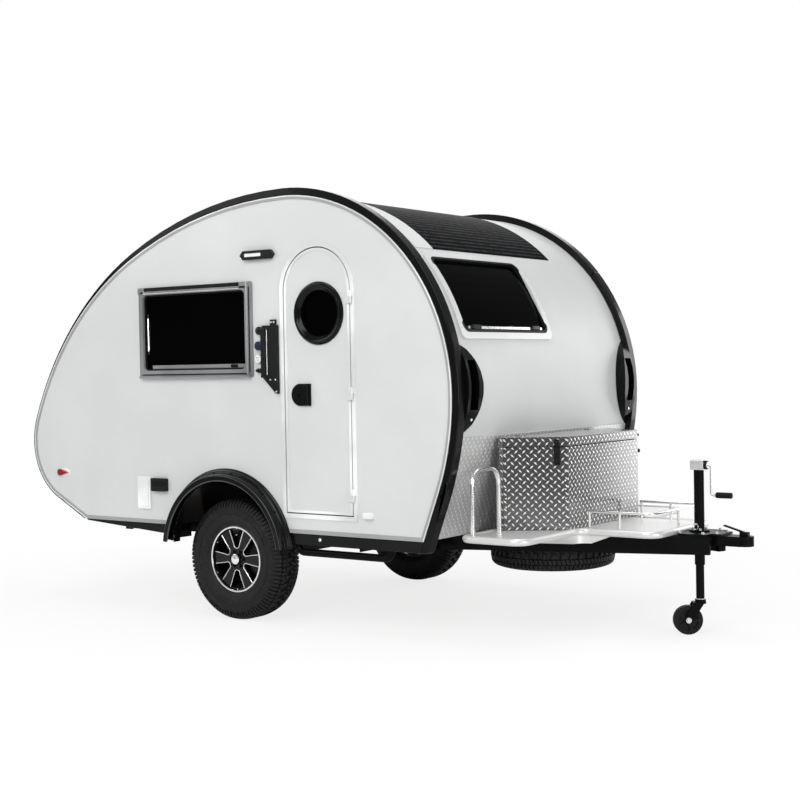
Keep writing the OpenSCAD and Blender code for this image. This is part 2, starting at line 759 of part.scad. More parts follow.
// Flexible solar panel on the front of the roof
solar_edge_right = 120;
solar_edge_left = 400;
solar_s0 = 6;
solar_s1 = 45;
solar_y0 = solar_edge_right - in_w;
solar_y1 = in_w - solar_edge_left;
solar_t = 4;
module solar_panel() placed() color("#1b1d22") side_plate(-solar_y1, -solar_y0)
    band(solar_s0, solar_s1, -solar_t, 0);

// Moulded grab handles on the front corners
grab_w = 120;
grab_gap = 28;
grab_y = rail_y0 - grab_gap - grab_w / 2;
grab_s0 = 75;
grab_s1 = 99;
// How far a shield bulges out of the front panel, how full it is and its width
grab_out = 66;
lens_full = 0.6;
shield_w = 140;
// Hand space: stations, distances out of the panel, width of the grip
hand_s0 = 81;
hand_s1 = 93;
hand_in = 6;
hand_out = 42;
grip_w = 42;
module lens(s0, s1, out) {
    n = (s1 - s0) / facet_a;
    polygon(concat(
        [for (k = [0 : n]) skin(body, s0 + k * facet_a, -out * pow(max(0, sin(180 * k / n)), lens_full))],
        run(body, s1, s0)
    ));
}
module grab_handles() placed() color("#0f1011") both_sides() {
    top = skin(body, grab_s0)[1];
    foot = skin(body, grab_s1)[1];
    reach_r = (pow((top - foot) / 2, 2) + pow(shield_w, 2)) / (2 * shield_w);
    inner_y = rail_y0 - shield_w;
    difference() {
        intersection() {
            side_plate(inner_y, rail_y0) lens(grab_s0, grab_s1, grab_out);
            translate([0, -inner_y - reach_r, (top + foot) / 2]) rotate([0, 90, 0])
                cylinder(r = reach_r, h = tip_x);
        }
        side_plate(inner_y - cut, rail_y0 - grab_gap + hand_in)
            polygon(concat(run(body, hand_s0, hand_s1, -hand_out), run(body, hand_s1, hand_s0, -hand_in)));
        side_plate(inner_y + grip_w, rail_y0 - grab_gap + hand_in)
            polygon(concat(run(body, hand_s0, hand_s1, -2 * grab_out), run(body, hand_s1, hand_s0, -hand_in)));
    }
}

// Tread-plate tub with its hinged lid
// Straight part of the tub's ends, and the share of an inset that its slanted sides take
tub_step = 24;
slant_share = 0.4;
function tub_plan(inset) = [
    [tub_x0 + inset, -tub_back_w / 2 + inset], [tub_x0 + tub_step, -tub_back_w / 2 + inset],
    [tub_x1 - inset, -tub_front_w / 2 + inset * slant_share],
    [tub_x1 - inset, tub_front_w / 2 - inset * slant_share],
    [tub_x0 + tub_step, tub_back_w / 2 - inset], [tub_x0 + inset, tub_back_w / 2 - inset]
];
tub_z0 = plate_z + plate_t;
lid_gap = 5;
module tub() placed() color("#c4c7ca") {
    difference() {
        translate([0, 0, tub_z0]) linear_extrude(lid_z - lid_gap - tub_z0) polygon(tub_plan(0));
        translate([0, 0, tub_z0 + sheet_t]) linear_extrude(lid_z) polygon(tub_plan(sheet_t));
    }
    tub_hinge();
}
// Hinge behind the lid: barrels along the top edge, straps down the back of the tub
lid_axis_back = 8;
lid_axis_x = tub_x0 - lid_axis_back;
lid_axis_z = lid_z + lid_h;
lid_barrel_d = 9;
lid_barrel_l = 60;
lid_hinge_y = 420;
lid_hinge_gap = 1;
lid_strap_t = 4;
lid_strap_l = 40;
lid_strap_drop = 80;
lid_strap_foot = 60;
lid_pin_d = 5;
module lid_barrel(y, d) translate([lid_axis_x, y, lid_axis_z]) rotate([-90, 0, 0])
    cylinder(d = d, h = lid_barrel_l);
module tub_lid() placed() color("#c4c7ca") {
    difference() {
        translate([0, 0, lid_z]) linear_extrude(lid_h) polygon(tub_plan(0));
        translate([0, 0, lid_z - cut]) linear_extrude(lid_h - sheet_t + cut) polygon(tub_plan(sheet_t));
    }
    both_sides() difference() {
        union() {
            lid_barrel(-lid_hinge_y, lid_barrel_d);
            translate([lid_axis_x, -lid_hinge_y, lid_axis_z]) cube([lid_strap_l, lid_barrel_l, lid_strap_t]);
        }
        lid_barrel(-lid_hinge_y - cut, lid_pin_d + pin_fit);
    }
}
module tub_hinge() both_sides() {
    y = -lid_hinge_y - lid_barrel_l - lid_hinge_gap;
    lid_barrel(y, lid_barrel_d);
    translate([0, lid_barrel_l, 0]) lid_barrel(y, lid_pin_d);
    z = lid_z - lid_strap_drop;
    translate([lid_axis_x - lid_strap_t / 2, y, z]) cube([lid_strap_t, lid_barrel_l, lid_h + lid_strap_drop]);
    translate([lid_axis_x, y, z]) cube([tub_x0 - lid_axis_x + sheet_t / 2, lid_barrel_l, lid_strap_foot]);
}
latch_in = 40;
latch_w = 34;
latch_h = 96;
latch_t = 10;
hook_h = 26;
hook_t = 24;
tub_slant = atan2((tub_back_w - tub_front_w) / 2, tub_x1 - tub_x0 - tub_step);
module tub_latches() placed() color("#0d0e0f") both_sides()
    translate([tub_x1, -tub_front_w / 2, lid_z - lid_gap - latch_h]) rotate(180 + tub_slant)
        translate([latch_in, 0, 0]) {
            cube([latch_w, latch_t, latch_h]);
            translate([0, 0, latch_h / 4]) cube([latch_w, hook_t, hook_h]);
        }

// Deck plate with its edge tube
deck_bend = 70;
deck_path = [
    [wing_x0, -wing_w, deck_z], [wing_x1, -wing_w, deck_z], [wing_x1, -basket_w, deck_z],
    [basket_x1, -basket_w, deck_z], [basket_x1, basket_w, deck_z], [wing_x1, basket_w, deck_z],
    [wing_x1, wing_w, deck_z], [wing_x0, wing_w, deck_z]
];
skirt_t = 5;
skirt_drop = 62;
skirt_lip = 6;
skirt_l = 150;
// Upright plate below the edge tube from one point of the plan to another
module skirt(a, b, drop_a, drop_b) {
    l = norm(b - a);
    translate([a[0], a[1], deck_z]) rotate(atan2(b[1] - a[1], b[0] - a[0])) rotate([90, 0, 0])
        linear_extrude(skirt_t, center = true) polygon([[0, 0], [l, 0], [l, -drop_b], [0, -drop_a]]);
}
module deck() placed() color("#d6d8da") {
    ring_tube(deck_path, deck_tube, deck_bend);
    both_sides() {
        skirt([wing_x1, deck_bend - wing_w], [wing_x1, -basket_w - deck_bend], skirt_lip, skirt_drop);
        translate([wing_x1 + deck_bend, -basket_w - deck_bend, deck_z]) rotate(90) rotate_extrude(angle = 90)
            translate([deck_bend - skirt_t / 2, -skirt_drop]) square([skirt_t, skirt_drop]);
        skirt(
            [wing_x1 + deck_bend, -basket_w], [wing_x1 + deck_bend + skirt_l, -basket_w],
            skirt_drop, skirt_lip
        );
    }
    translate([0, 0, plate_z]) linear_extrude(plate_t) {
        translate([(wing_x0 + wing_x1) / 2, 0]) rounded(wing_x1 - wing_x0, 2 * wing_w, deck_bend);
        translate([(wing_x0 + basket_x1) / 2, 0]) rounded(basket_x1 - wing_x0, 2 * basket_w, deck_bend);
    }
}
rail_wire = 14;
rail_rise = 95;
rail_in = 30;
rail_lead = 60;
rail_bend = 50;
post_in = 10;
post_gap = 190;
module deck_rail() placed() color("#dfe1e3") {
    z1 = plate_z + plate_t + rail_rise;
    x0 = tub_x1 + rail_lead;
    x1 = basket_x1 - rail_in;
    y = basket_w - rail_in;
    bent_tube([[x0, -y, z1], [x1, -y, z1], [x1, y, z1], [x0, y, z1]], rail_wire, rail_bend);
    for (p = [[x0 + post_in, -y], [x0 + post_gap, -y], [x1, 0], [x0 + post_gap, y], [x0 + post_in, y]])
        translate([p[0], p[1], plate_z + plate_t]) cylinder(d = rail_wire, h = rail_rise);
}
hoop_lead = 40;
hoop_bend = 90;
hoop_x = wing_x0 + hoop_lead;
hoop_y1 = hoop_y0 + hoop_w;
hoop_z = skin(body, grab_s1)[1] - hoop_drop;
module hoops() placed() color("#dfe1e3") both_sides() bent_tube([
    [hoop_x, -hoop_y0, plate_z + plate_t], [hoop_x, -hoop_y0, hoop_z],
    [hoop_x, -hoop_y1, hoop_z], [hoop_x, -hoop_y1, plate_z + plate_t]
], hoop_tube, hoop_bend);

// Side-wind jack with a swivelling wheel
jack_bore_d = jack_leg_d + 1;
jack_stop = 6;
jack_flange_d = 110;
jack_flange_t = 10;
module jack_tube() placed() color("#16171a") translate([jack_x, 0, 0]) difference() {
    union() {
        translate([0, 0, jack_z0]) cylinder(d = jack_tube_d, h = jack_z1 - jack_z0);
        translate([0, 0, floor_z + head_t]) cylinder(d = jack_flange_d, h = jack_flange_t);
    }
    translate([0, 0, jack_z0 - cut]) cylinder(d = jack_bore_d, h = jack_z1 - jack_z0 - jack_stop);
}
crank_x = 70;
crank_drop = 158;
crank_rod = 14;
gear_l = 74;
gear_w = 62;
gear_h = 52;
gear_cap = 10;
bearing_l = 16;
bearing_d = 34;
grip_d = 26;
grip_l = 92;
grip_x = 30;
module jack_crank() placed() color("#c9ccd0") translate([jack_x, 0, jack_z1]) {
    z = gear_h / 2;
    translate([-gear_l / 2, -gear_w / 2, 0]) cube([gear_l, gear_w, gear_h]);
    translate([gear_cap - gear_l / 2, gear_cap - gear_w / 2, gear_cap])
        cube([gear_l - 2 * gear_cap, gear_w - 2 * gear_cap, gear_h - gear_cap / 2]);
    translate([0, 0, z]) rotate([0, 90, 0]) cylinder(d = bearing_d, h = gear_l / 2 + bearing_l);
    bent_tube([
        [0, 0, z], [crank_x, 0, z], [crank_x, 0, z - crank_drop], [crank_x + grip_x, 0, z - crank_drop]
    ], crank_rod, crank_rod);
    translate([crank_x + grip_x - crank_rod / 2, 0, z - crank_drop]) rotate([0, 90, 0])
        cylinder(d = grip_d, h = grip_l);
}
leg_clear = 20;
collar_w = 14;
leg_z0 = jack_wheel_d + leg_clear;
leg_top = 620;
stem_d = 20;
stem_l = 45;
module jack_leg() placed() color("#1b1c1f") translate([jack_x, 0, 0]) difference() {
    union() {
        translate([0, 0, leg_z0]) cylinder(d = jack_leg_d, h = leg_top - leg_z0);
        translate([0, 0, leg_z0]) cylinder(d = jack_leg_d + collar_w, h = collar_w);
    }
    translate([0, 0, leg_z0 - cut]) cylinder(d = stem_d + pin_fit, h = stem_l + 2 * cut);
}
jack_wheel_w = 42;
// Webs of the jack wheel and how deep its sides are hollowed
webs = 5;
web_t = 14;
web_in = 9;
boss_d = 40;
fork_t = 6;
fork_gap = 4;
fork_w = jack_wheel_w + 2 * fork_gap + 2 * fork_t;
jack_axle_d = 16;
swivel_gap = 1;
crown_t = 10;
crown_l = caster_trail * 0.6;
axle_over = 12;
module at_caster() translate([jack_x, 0, 0]) rotate(caster_yaw) children();
module jack_fork() placed() color("#1a1b1e") at_caster() {
    z1 = leg_z0 - swivel_gap;
    translate([0, 0, z1 - crown_t]) cylinder(d = fork_w, h = crown_t);
    translate([0, 0, z1]) cylinder(d = stem_d, h = stem_l);
    translate([-crown_l, -fork_w / 2, z1 - crown_t]) cube([crown_l, fork_w, crown_t]);
    for (y = [-1, 1]) translate([0, y * (fork_w - fork_t) / 2 + fork_t / 2, 0]) rotate([90, 0, 0])
        linear_extrude(fork_t) polygon([
            [fork_w * 0.3, z1], [-crown_l, z1],
            [-caster_trail - 18, jack_wheel_d / 2 + 8], [-caster_trail - 14, jack_wheel_d / 2 - 16],
            [-caster_trail + 14, jack_wheel_d / 2 - 16]
        ]);
    translate([-caster_trail, 0, jack_wheel_d / 2]) rotate([90, 0, 0])
        cylinder(d = jack_axle_d, h = fork_w + axle_over, center = true);
}
module jack_wheel() placed() color("#141414") at_caster() translate([-caster_trail, 0, jack_wheel_d / 2])
    rotate([90, 0, 0]) difference() {
        cylinder(d = jack_wheel_d, h = jack_wheel_w, center = true);
        cylinder(d = jack_axle_d + pin_fit, h = jack_wheel_w + 2 * cut, center = true);
        for (y = [-1, 1]) translate([0, 0, y * jack_wheel_w / 2]) difference() {
            cylinder(d = jack_wheel_d * 0.7, h = 2 * web_in, center = true);
            cylinder(d = boss_d, h = 2 * web_in + cut, center = true);
            for (k = [1 : webs]) rotate(360 / webs * k) translate([0, -web_t / 2, -web_in - cut])
                cube([jack_wheel_d, web_t, 2 * (web_in + cut)]);
        }
    }

// Road wheels turned about their own z axis, outer side up
tyre_bead = rim_d / 2 - 14;
tyre_r = tyre_d / 2;
// Half section of the tyre: radius, height from the middle plane
tyre_half = [
    [tyre_bead, tyre_w * 0.36], [tyre_bead + 22, tyre_w * 0.44], [tyre_bead + 62, tyre_w / 2],
    [tyre_r - 52, tyre_w * 0.49], [tyre_r - 24, tyre_w * 0.45], [tyre_r - 7, tyre_w * 0.37],
    [tyre_r, tyre_w * 0.2]
];
module tyre() rotate_extrude($fn = 64) polygon(concat(
    tyre_half,
    [for (i = [len(tyre_half) - 1 : -1 : 0]) [tyre_half[i][0], -tyre_half[i][1]]]
));
rim_w = tyre_w * 0.72;
rim_wall = 12;
face_z = rim_w / 2 - 34;
face_t = 22;
spokes = 6;
hub_d = 124;
hub_boss = 14;
// Thickness left over the spindle's end
spindle_cover = 6;
cap_d = 62;
cap_out = 16;
// Windows between the spokes: radius and middle of the round inner end, outer radius, half width beyond it
window_end_r = 19;
window_in_r = 84;
window_out_r = tyre_bead - rim_wall - 8;
window_flare = 92;
module rim_window() intersection() {
    circle(window_out_r);
    union() {
        translate([window_in_r, 0]) circle(window_end_r);
        polygon([
            [window_in_r, cut - window_end_r], [2 * window_out_r - window_in_r, -window_flare],
            [2 * window_out_r - window_in_r, window_flare], [window_in_r, window_end_r - cut]
        ]);
    }
}
module rim() difference() {
    union() {
        rotate_extrude($fn = 64) polygon([
            [tyre_bead - rim_wall, -rim_w / 2], [tyre_bead, -rim_w / 2],
            [tyre_bead, rim_w / 2], [tyre_bead - rim_wall, rim_w / 2]
        ]);
        translate([0, 0, face_z]) linear_extrude(face_t) difference() {
            circle(tyre_bead - rim_wall / 2);
            for (k = [0 : spokes - 1]) rotate(360 / spokes * (k + 0.5)) rim_window();
        }
        translate([0, 0, face_z - hub_boss]) cylinder(d = hub_d, h = face_t + hub_boss);
        translate([0, 0, face_z + face_t]) cylinder(d = cap_d, h = cap_out);
        hub();
    }
    translate([0, 0, -wheel_y])
        cylinder(d = spindle_d + spindle_fit, h = wheel_y + face_z + face_t - spindle_cover);
}
hub_l = wheel_y - hub_in_y;
barrel_d = 116;
drum_d = 260;
drum_w = 60;
module hub() {
    translate([0, 0, -hub_l]) cylinder(d = barrel_d, h = hub_l + face_z);
    translate([0, 0, -hub_l]) cylinder(d = drum_d, h = drum_w);
}
module at_wheel() placed() translate([0, -wheel_y, axle_z]) rotate([90, 0, 0]) children();
module tyre_right() color("#1a1a1b") at_wheel() tyre();
module rim_right() color("#303236") at_wheel() rim();
module tyre_left() color("#1a1a1b") mirror([0, 1, 0]) at_wheel() tyre();
module rim_left() color("#303236") mirror([0, 1, 0]) at_wheel() rim();
spare_x = nose_x;
spare_hole_r = 40;
spare_z = floor_z - hanger_t - tyre_w / 2;
module at_spare() placed() translate([spare_x, 0, spare_z]) rotate([180, 0, 0]) children();
module spare_tyre() color("#1a1a1b") at_spare() tyre();
module spare_rim() color("#2b2d30") at_spare() rotate_extrude($fn = 64) polygon([
    [spare_hole_r, face_z], [tyre_bead - rim_wall, face_z],
    [tyre_bead - rim_wall, -rim_w / 2], [tyre_bead, -rim_w / 2],
    [tyre_bead, rim_w / 2], [tyre_bead - rim_wall, rim_w / 2], [tyre_bead - rim_wall, face_z + face_t],
    [spare_hole_r, face_z + face_t]
]);

// Corner stabilisers folded up under the frame
// Room below a foot that is folded down
foot_clear = 20;
stab_l = stab_z - foot_clear;
foot_l = 110;
foot_w = 120;
foot_t = 8;
stab_h = 44;
module stabiliser() {
    difference() {
        union() {
            translate([0, -stab_w / 2, -stab_h / 2]) cube([stab_l - foot_t, stab_w, stab_h]);
            rotate([90, 0, 0]) cylinder(d = stab_h, h = stab_w, center = true);
            translate([stab_l - foot_t, -foot_w / 2, -foot_l / 2]) cube([foot_t, foot_w, foot_l]);
        }
        rotate([90, 0, 0]) cylinder(d = stab_pin_d + pin_fit, h = stab_w + 2 * cut, center = true);
    }
}
module stabiliser_front_right() placed() color("#1b1c1e") translate([stab_front_x, -stab_y, stab_z])
    rotate(180) stabiliser();
module stabiliser_front_left() placed() color("#1b1c1e") translate([stab_front_x, stab_y, stab_z])
    rotate(180) stabiliser();
module stabiliser_rear_right() placed() color("#1b1c1e") translate([stab_rear_x, -stab_y, stab_z])
    stabiliser();
module stabiliser_rear_left() placed() color("#1b1c1e") translate([stab_rear_x, stab_y, stab_z])
    stabiliser();

// Lamps, vents and fittings on the walls
module wall_box(place, size, out, r) side_plate(half_w, half_w + out) translate(place)
    rounded(size[0], size[1], r);
// Porch lamp: a long body with tapered ends
porch_at = [264, 2090];
porch_size = [246, 51];
porch_taper = 22;
porch_out = 28;
module porch_light() placed() color("#1c1d1f") side_plate(half_w, half_w + porch_out) translate(porch_at) {
    l = porch_size[0] / 2;
    h = porch_size[1] / 2;
    polygon([
        [-l, 0], [porch_taper - l, -h], [l - porch_taper, -h],
        [l, 0], [l - porch_taper, h], [porch_taper - l, h]
    ]);
}
marker_at = [-1405, 818];
marker_l = 95;
marker_r = 21;
marker_out = 18;
module marker_shape() {
    x = marker_r - marker_l / 2;
    translate([x, 0]) circle(marker_r);
    polygon([[x, cut - marker_r], [marker_l / 2, 0], [x, marker_r - cut]]);
}
module side_markers() placed() color("#b3231c") both_sides() side_plate(half_w, half_w + marker_out)
    translate(marker_at) marker_shape();
tail_lamp_s = -96;
tail_lamp_in = 190;
tail_lamp_size = [150, 220];
lamp_reach = 21;
module tail_lamps() placed() color("#a81f1a") both_sides() intersection() {
    across() band(tail_lamp_s - lamp_reach, tail_lamp_s + lamp_reach, -lamp_out, 0);
    window_cut(tail_lamp_s, tail_lamp_size[0], tail_lamp_size[1], tail_lamp_in - half_w);
}
// White hatch behind the wheel and the door's holdback ahead of the door
hatch_at = [-684, 718];
hatch_size = [107, 196];
hatch_out = 10;
hatch_rim = 30;
hatch_lid = 4;
fitting_r = 8;
holdback_at = [1013, 656];
holdback_size = [60, 34];
holdback_out = 22;
module vents() placed() color("#e4e5e6") {
    wall_box(hatch_at, hatch_size, hatch_out, fitting_r);
    wall_box(hatch_at, hatch_size - [hatch_rim, hatch_rim], hatch_out + hatch_lid, fitting_r);
    wall_box(holdback_at, holdback_size, holdback_out, fitting_r);
}
// Folding table bracket beside the door: hinge bar, panel, top tab and pointed foot
bracket_z0 = 1400;
bracket_z1 = 1692;
bracket_x0 = 292;
bracket_x1 = 402;
bracket_bar_w = 30;
bracket_bar_out = 34;
bracket_panel_out = 20;
bracket_tab_h = 32;
bracket_foot = 90;
bracket_tip = 14;
module table_bracket() placed() color("#101113") {
    side_plate(half_w, half_w + bracket_bar_out) translate([bracket_x0, bracket_z0])
        square([bracket_bar_w, bracket_z1 - bracket_z0 - bracket_tab_h / 2]);
    side_plate(half_w, half_w + bracket_panel_out) polygon([
        [bracket_x0, bracket_z0], [bracket_x1 - bracket_tip, bracket_z0 - bracket_foot],
        [bracket_x1, bracket_z0 - bracket_foot], [bracket_x1, bracket_z1],
        [bracket_x1 - bracket_tip, bracket_z1], [bracket_x1 - bracket_tip, bracket_z1 + bracket_tab_h],
        [bracket_x0 + 2 * bracket_bar_w, bracket_z1 + bracket_tab_h],
        [bracket_x0 + 2 * bracket_bar_w, bracket_z1],
        [bracket_x0, bracket_z1]
    ]);
}
// Sockets on the wall: x, z, diameter; and the power inlet behind the wheel
SOCKET_D = 2;
socket_rows = [[264, 1664, 46], [258, 1579, 50], [256, 1506, 46], [262, 1440, 26]];
socket_out = 14;
inlet_at = [-548, 769];
inlet_size = [124, 78];
inlet_out = 24;
module sockets() placed() color("#35383c") {
    for (row = socket_rows) side_plate(half_w, half_w + socket_out) translate([row[0], row[1]])
        circle(d = row[SOCKET_D]);
    wall_box(inlet_at, inlet_size, inlet_out, fitting_r);
}
vent_s = -9;
vent_half = 6;
vent_w = 400;
vent_out = 38;
module roof_vent() placed() color("#e6e7e8") intersection() {
    across() band(vent_s - vent_half, vent_s + vent_half, -vent_out, 0);
    window_cut(vent_s, vent_w, vent_w);
}

frame();
axle();
coupler();
floor();
wheel_wells();
wall_right();
wall_left();
front_panel();
apron();
roof_panel();
rear_panel();
roof_rails();
front_rails();
edge_mouldings();
sills();
fenders();
step_bars();
door_frame();
door_leaf();
porthole_ring();
porthole_glass();
door_handle();
window_frames();
end_window_frames();
window_panes();
solar_panel();
grab_handles();
tub();
tub_lid();
tub_latches();
deck();
deck_rail();
hoops();
jack_tube();
jack_crank();
jack_leg();
jack_fork();
jack_wheel();
tyre_right();
rim_right();
tyre_left();
rim_left();
spare_tyre();
spare_rim();
stabiliser_front_right();
stabiliser_front_left();
stabiliser_rear_right();
stabiliser_rear_left();
porch_light();
side_markers();
tail_lamps();
vents();
table_bracket();
sockets();
roof_vent();
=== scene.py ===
"""Looks of the camper trailer: finishes, tread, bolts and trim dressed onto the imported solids."""

import json
import logging
import math
from dataclasses import dataclass, field
from enum import Enum
from typing import Callable, NamedTuple, Sequence

import bmesh
import bpy
import numpy as np
from mathutils import Matrix, Vector


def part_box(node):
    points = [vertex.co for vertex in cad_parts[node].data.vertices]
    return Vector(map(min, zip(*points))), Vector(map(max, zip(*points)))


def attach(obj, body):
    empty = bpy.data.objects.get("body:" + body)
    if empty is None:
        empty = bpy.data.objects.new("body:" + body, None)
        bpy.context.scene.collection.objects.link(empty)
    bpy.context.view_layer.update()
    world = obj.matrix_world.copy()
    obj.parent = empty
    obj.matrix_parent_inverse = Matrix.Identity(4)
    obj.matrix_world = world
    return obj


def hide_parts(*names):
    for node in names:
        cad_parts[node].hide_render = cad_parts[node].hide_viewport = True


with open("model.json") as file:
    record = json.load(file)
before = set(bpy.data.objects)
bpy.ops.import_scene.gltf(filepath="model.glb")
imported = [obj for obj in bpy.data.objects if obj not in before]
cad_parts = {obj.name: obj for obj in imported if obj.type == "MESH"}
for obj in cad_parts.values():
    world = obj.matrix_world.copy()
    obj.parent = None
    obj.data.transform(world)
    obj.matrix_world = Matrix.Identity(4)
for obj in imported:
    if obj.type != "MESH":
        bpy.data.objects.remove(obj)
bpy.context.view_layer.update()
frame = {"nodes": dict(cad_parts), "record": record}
LOG = logging.getLogger("camper")

# Distance from the wheel axle back to the origin of the frame, in millimetres
PLACE_X = -524.546
MM = 0.001
# Distance from the middle of the trailer to the outside of a wall, in millimetres
HALF_W = 1000.0
UP = Vector((0, 0, 1))
AHEAD = Vector((1, 0, 0))

Point = tuple[float, float, float]
Colour = tuple[float, float, float]
Flat = tuple[float, float]
Place = Callable[[float, float, float], Vector]
Socket = bpy.types.NodeSocket


def at(x: float, y: float, z: float) -> Vector:
    """A point in millimetres from the wheel axle, as a place in the frame in metres."""
    return Vector(((x + PLACE_X) * MM, y * MM, z * MM))


class Side(Enum):
    """Sides of the trailer, by the sign of y."""

    RIGHT = -1
    LEFT = 1

    @property
    def word(self) -> str:
        """The side's name, as it ends a piece's name."""
        return self.name.lower()

    @property
    def out(self) -> Vector:
        """The direction out of this side."""
        return Vector((0, self.value, 0))


class Noise(Enum):
    """Kinds of noise on a surface: waves in a metre, octaves of finer noise."""

    PATCHES = (2.3, 5.0)
    SHEEN = (9.0, 4.0)
    PEEL = (420.0, 1.0)
    HANDLING = (14.0, 4.0)
    SKIN = (900.0, 2.0)
    DRAWN = (4.0, 3.0)
    HAZE = (5.0, 5.0)
    PLATE_HAZE = (3.0, 5.0)
    FILM = (3.0, 4.0)
    WAVES = (1.6, 1.0)
    WOOD = (9.0, 6.0)
    CELLS = (26.0, 2.0)
    DUST = (38.0, 5.0)
    PORES = (600.0, 3.0)
    FLOOR = (0.4, 2.0)


class Value:
    """A socket that takes part in Python expressions."""

    def __init__(self, graph: "Graph", socket: Socket) -> None:
        """Keeps the socket and the graph it belongs to."""
        self.graph = graph
        self.socket = socket

    def _math(self, operation: str, *operands: "Value | float") -> "Value":
        """Adds a Math node.

        Args:
            operation: the node's operation.
            operands: its inputs, in order.

        Returns:
            The node's result.
        """
        made = self.graph.node("ShaderNodeMath", {"operation": operation}, dict(enumerate(operands)))
        return Value(self.graph, made.outputs[0])

    def __add__(self, other: "Value | float") -> "Value":
        """self + other"""
        return self._math("ADD", self, other)

    def __radd__(self, other: float) -> "Value":
        """other + self"""
        return self._math("ADD", other, self)

    def __sub__(self, other: "Value | float") -> "Value":
        """self - other"""
        return self._math("SUBTRACT", self, other)

    def __rsub__(self, other: float) -> "Value":
        """other - self"""
        return self._math("SUBTRACT", other, self)

    def __mul__(self, other: "Value | float") -> "Value":
        """self * other"""
        return self._math("MULTIPLY", self, other)

    def __rmul__(self, other: float) -> "Value":
        """other * self"""
        return self._math("MULTIPLY", other, self)

    def __truediv__(self, other: "Value | float") -> "Value":
        """self / other"""
        return self._math("DIVIDE", self, other)

    def __rtruediv__(self, other: float) -> "Value":
        """other / self"""
        return self._math("DIVIDE", other, self)

    def __mod__(self, other: "Value | float") -> "Value":
        """self % other, never negative"""
        return self._math("FLOORED_MODULO", self, other)

    def __gt__(self, other: "Value | float") -> "Value":
        """1 where self is greater than other"""
        return self._math("GREATER_THAN", self, other)

    def __abs__(self) -> "Value":
        """abs(self)"""
        return self._math("ABSOLUTE", self)

    def floor(self) -> "Value":
        """The whole number below."""
        return self._math("FLOOR", self)

    def root(self) -> "Value":
        """The square root."""
        return self._math("SQRT", self)

    def angle(self, other: "Value") -> "Value":
        """The angle of the point (other, self), in radians."""
        return self._math("ARCTAN2", self, other)

    def cosine(self) -> "Value":
        """The cosine of an angle in radians."""
        return self._math("COSINE", self)

    def step(self, low: float, high: float) -> "Value":
        """Runs smoothly from 0 at low to 1 at high.

        Args:
            low: where the step starts.
            high: where it ends.

        Returns:
            The smoothed share.
        """
        made = self.graph.node(
            "ShaderNodeMapRange",
            {"interpolation_type": "SMOOTHSTEP"},
            {"Value": self, "From Min": low, "From Max": high},
        )
        return Value(self.graph, made.outputs["Result"])


class Graph:
    """The node tree of one material."""

    def __init__(self, name: str) -> None:
        """Makes an empty material.

        Args:
            name: the material's name.
        """
        self.material = bpy.data.materials.new(name)
        self.material.use_nodes = True
        self.tree = self.material.node_tree
        self.tree.nodes.clear()
        coords = self.node("ShaderNodeTexCoord")
        self.place = coords.outputs["Object"]
        split = self.node("ShaderNodeSeparateXYZ", None, {0: self.place})
        self.x, self.y, self.z = (Value(self, s) for s in split.outputs)
        turn = self.node("ShaderNodeSeparateXYZ", None, {0: coords.outputs["Normal"]})
        self.nx, self.ny, self.nz = (Value(self, s) for s in turn.outputs)

    def node(self, kind: str, settings: dict | None = None, inputs: dict | None = None) -> bpy.types.Node:
        """Adds a node.

        Args:
            kind: the node's type.
            settings: its properties.
            inputs: values or links by socket name or number.

        Returns:
            The node.
        """
        made = self.tree.nodes.new(kind)
        for key, setting in (settings or {}).items():
            setattr(made, key, setting)
        for key, given in (inputs or {}).items():
            link = given.socket if isinstance(given, Value) else given
            if isinstance(link, Socket):
                self.tree.links.new(link, made.inputs[key])
            else:
                made.inputs[key].default_value = given
        return made

    def noise(self, kind: Noise, stretch: Point = (1.0, 1.0, 1.0)) -> Value:
        """Noise over the surface.

        Args:
            kind: its waves and octaves.
            stretch: scale along each axis.

        Returns:
            Values around 0.5.
        """
        scale, detail = kind.value
        place = self.node("ShaderNodeMapping", None, {"Vector": self.place, "Scale": stretch})
        inputs = {"Vector": place.outputs[0], "Scale": scale, "Detail": detail}
        return Value(self, self.node("ShaderNodeTexNoise", None, inputs).outputs[0])

    def mix(self, share: Value | float, first: Colour | Socket, second: Colour | Socket) -> Socket:
        """Mixes two colours.

        Args:
            share: 0 for the first, 1 for the second.
            first: a colour or a link.
            second: a colour or a link.

        Returns:
            The mixed colour's socket.
        """
        pair = {6: first, 7: second}
        given = {k: (*c, 1.0) if isinstance(c, tuple) else c for k, c in pair.items()}
        return self.node("ShaderNodeMix", {"data_type": "RGBA"}, {0: share, **given}).outputs[2]

    def bump(self, height: Value, depth: float, strength: float) -> Socket:
        """A normal from heights.

        Args:
            height: 0 to 1 over the surface.
            depth: metres between 0 and 1.
            strength: how much of it shows.

        Returns:
            The normal's socket.
        """
        made = self.node("ShaderNodeBump", None, {"Height": height, "Distance": depth, "Strength": strength})
        return made.outputs[0]

    def ended(self, shader: bpy.types.Node) -> bpy.types.Material:
        """Ends the tree in a shader and gives the finished material."""
        self.node("ShaderNodeOutputMaterial", None, {"Surface": shader.outputs[0]})
        return self.material


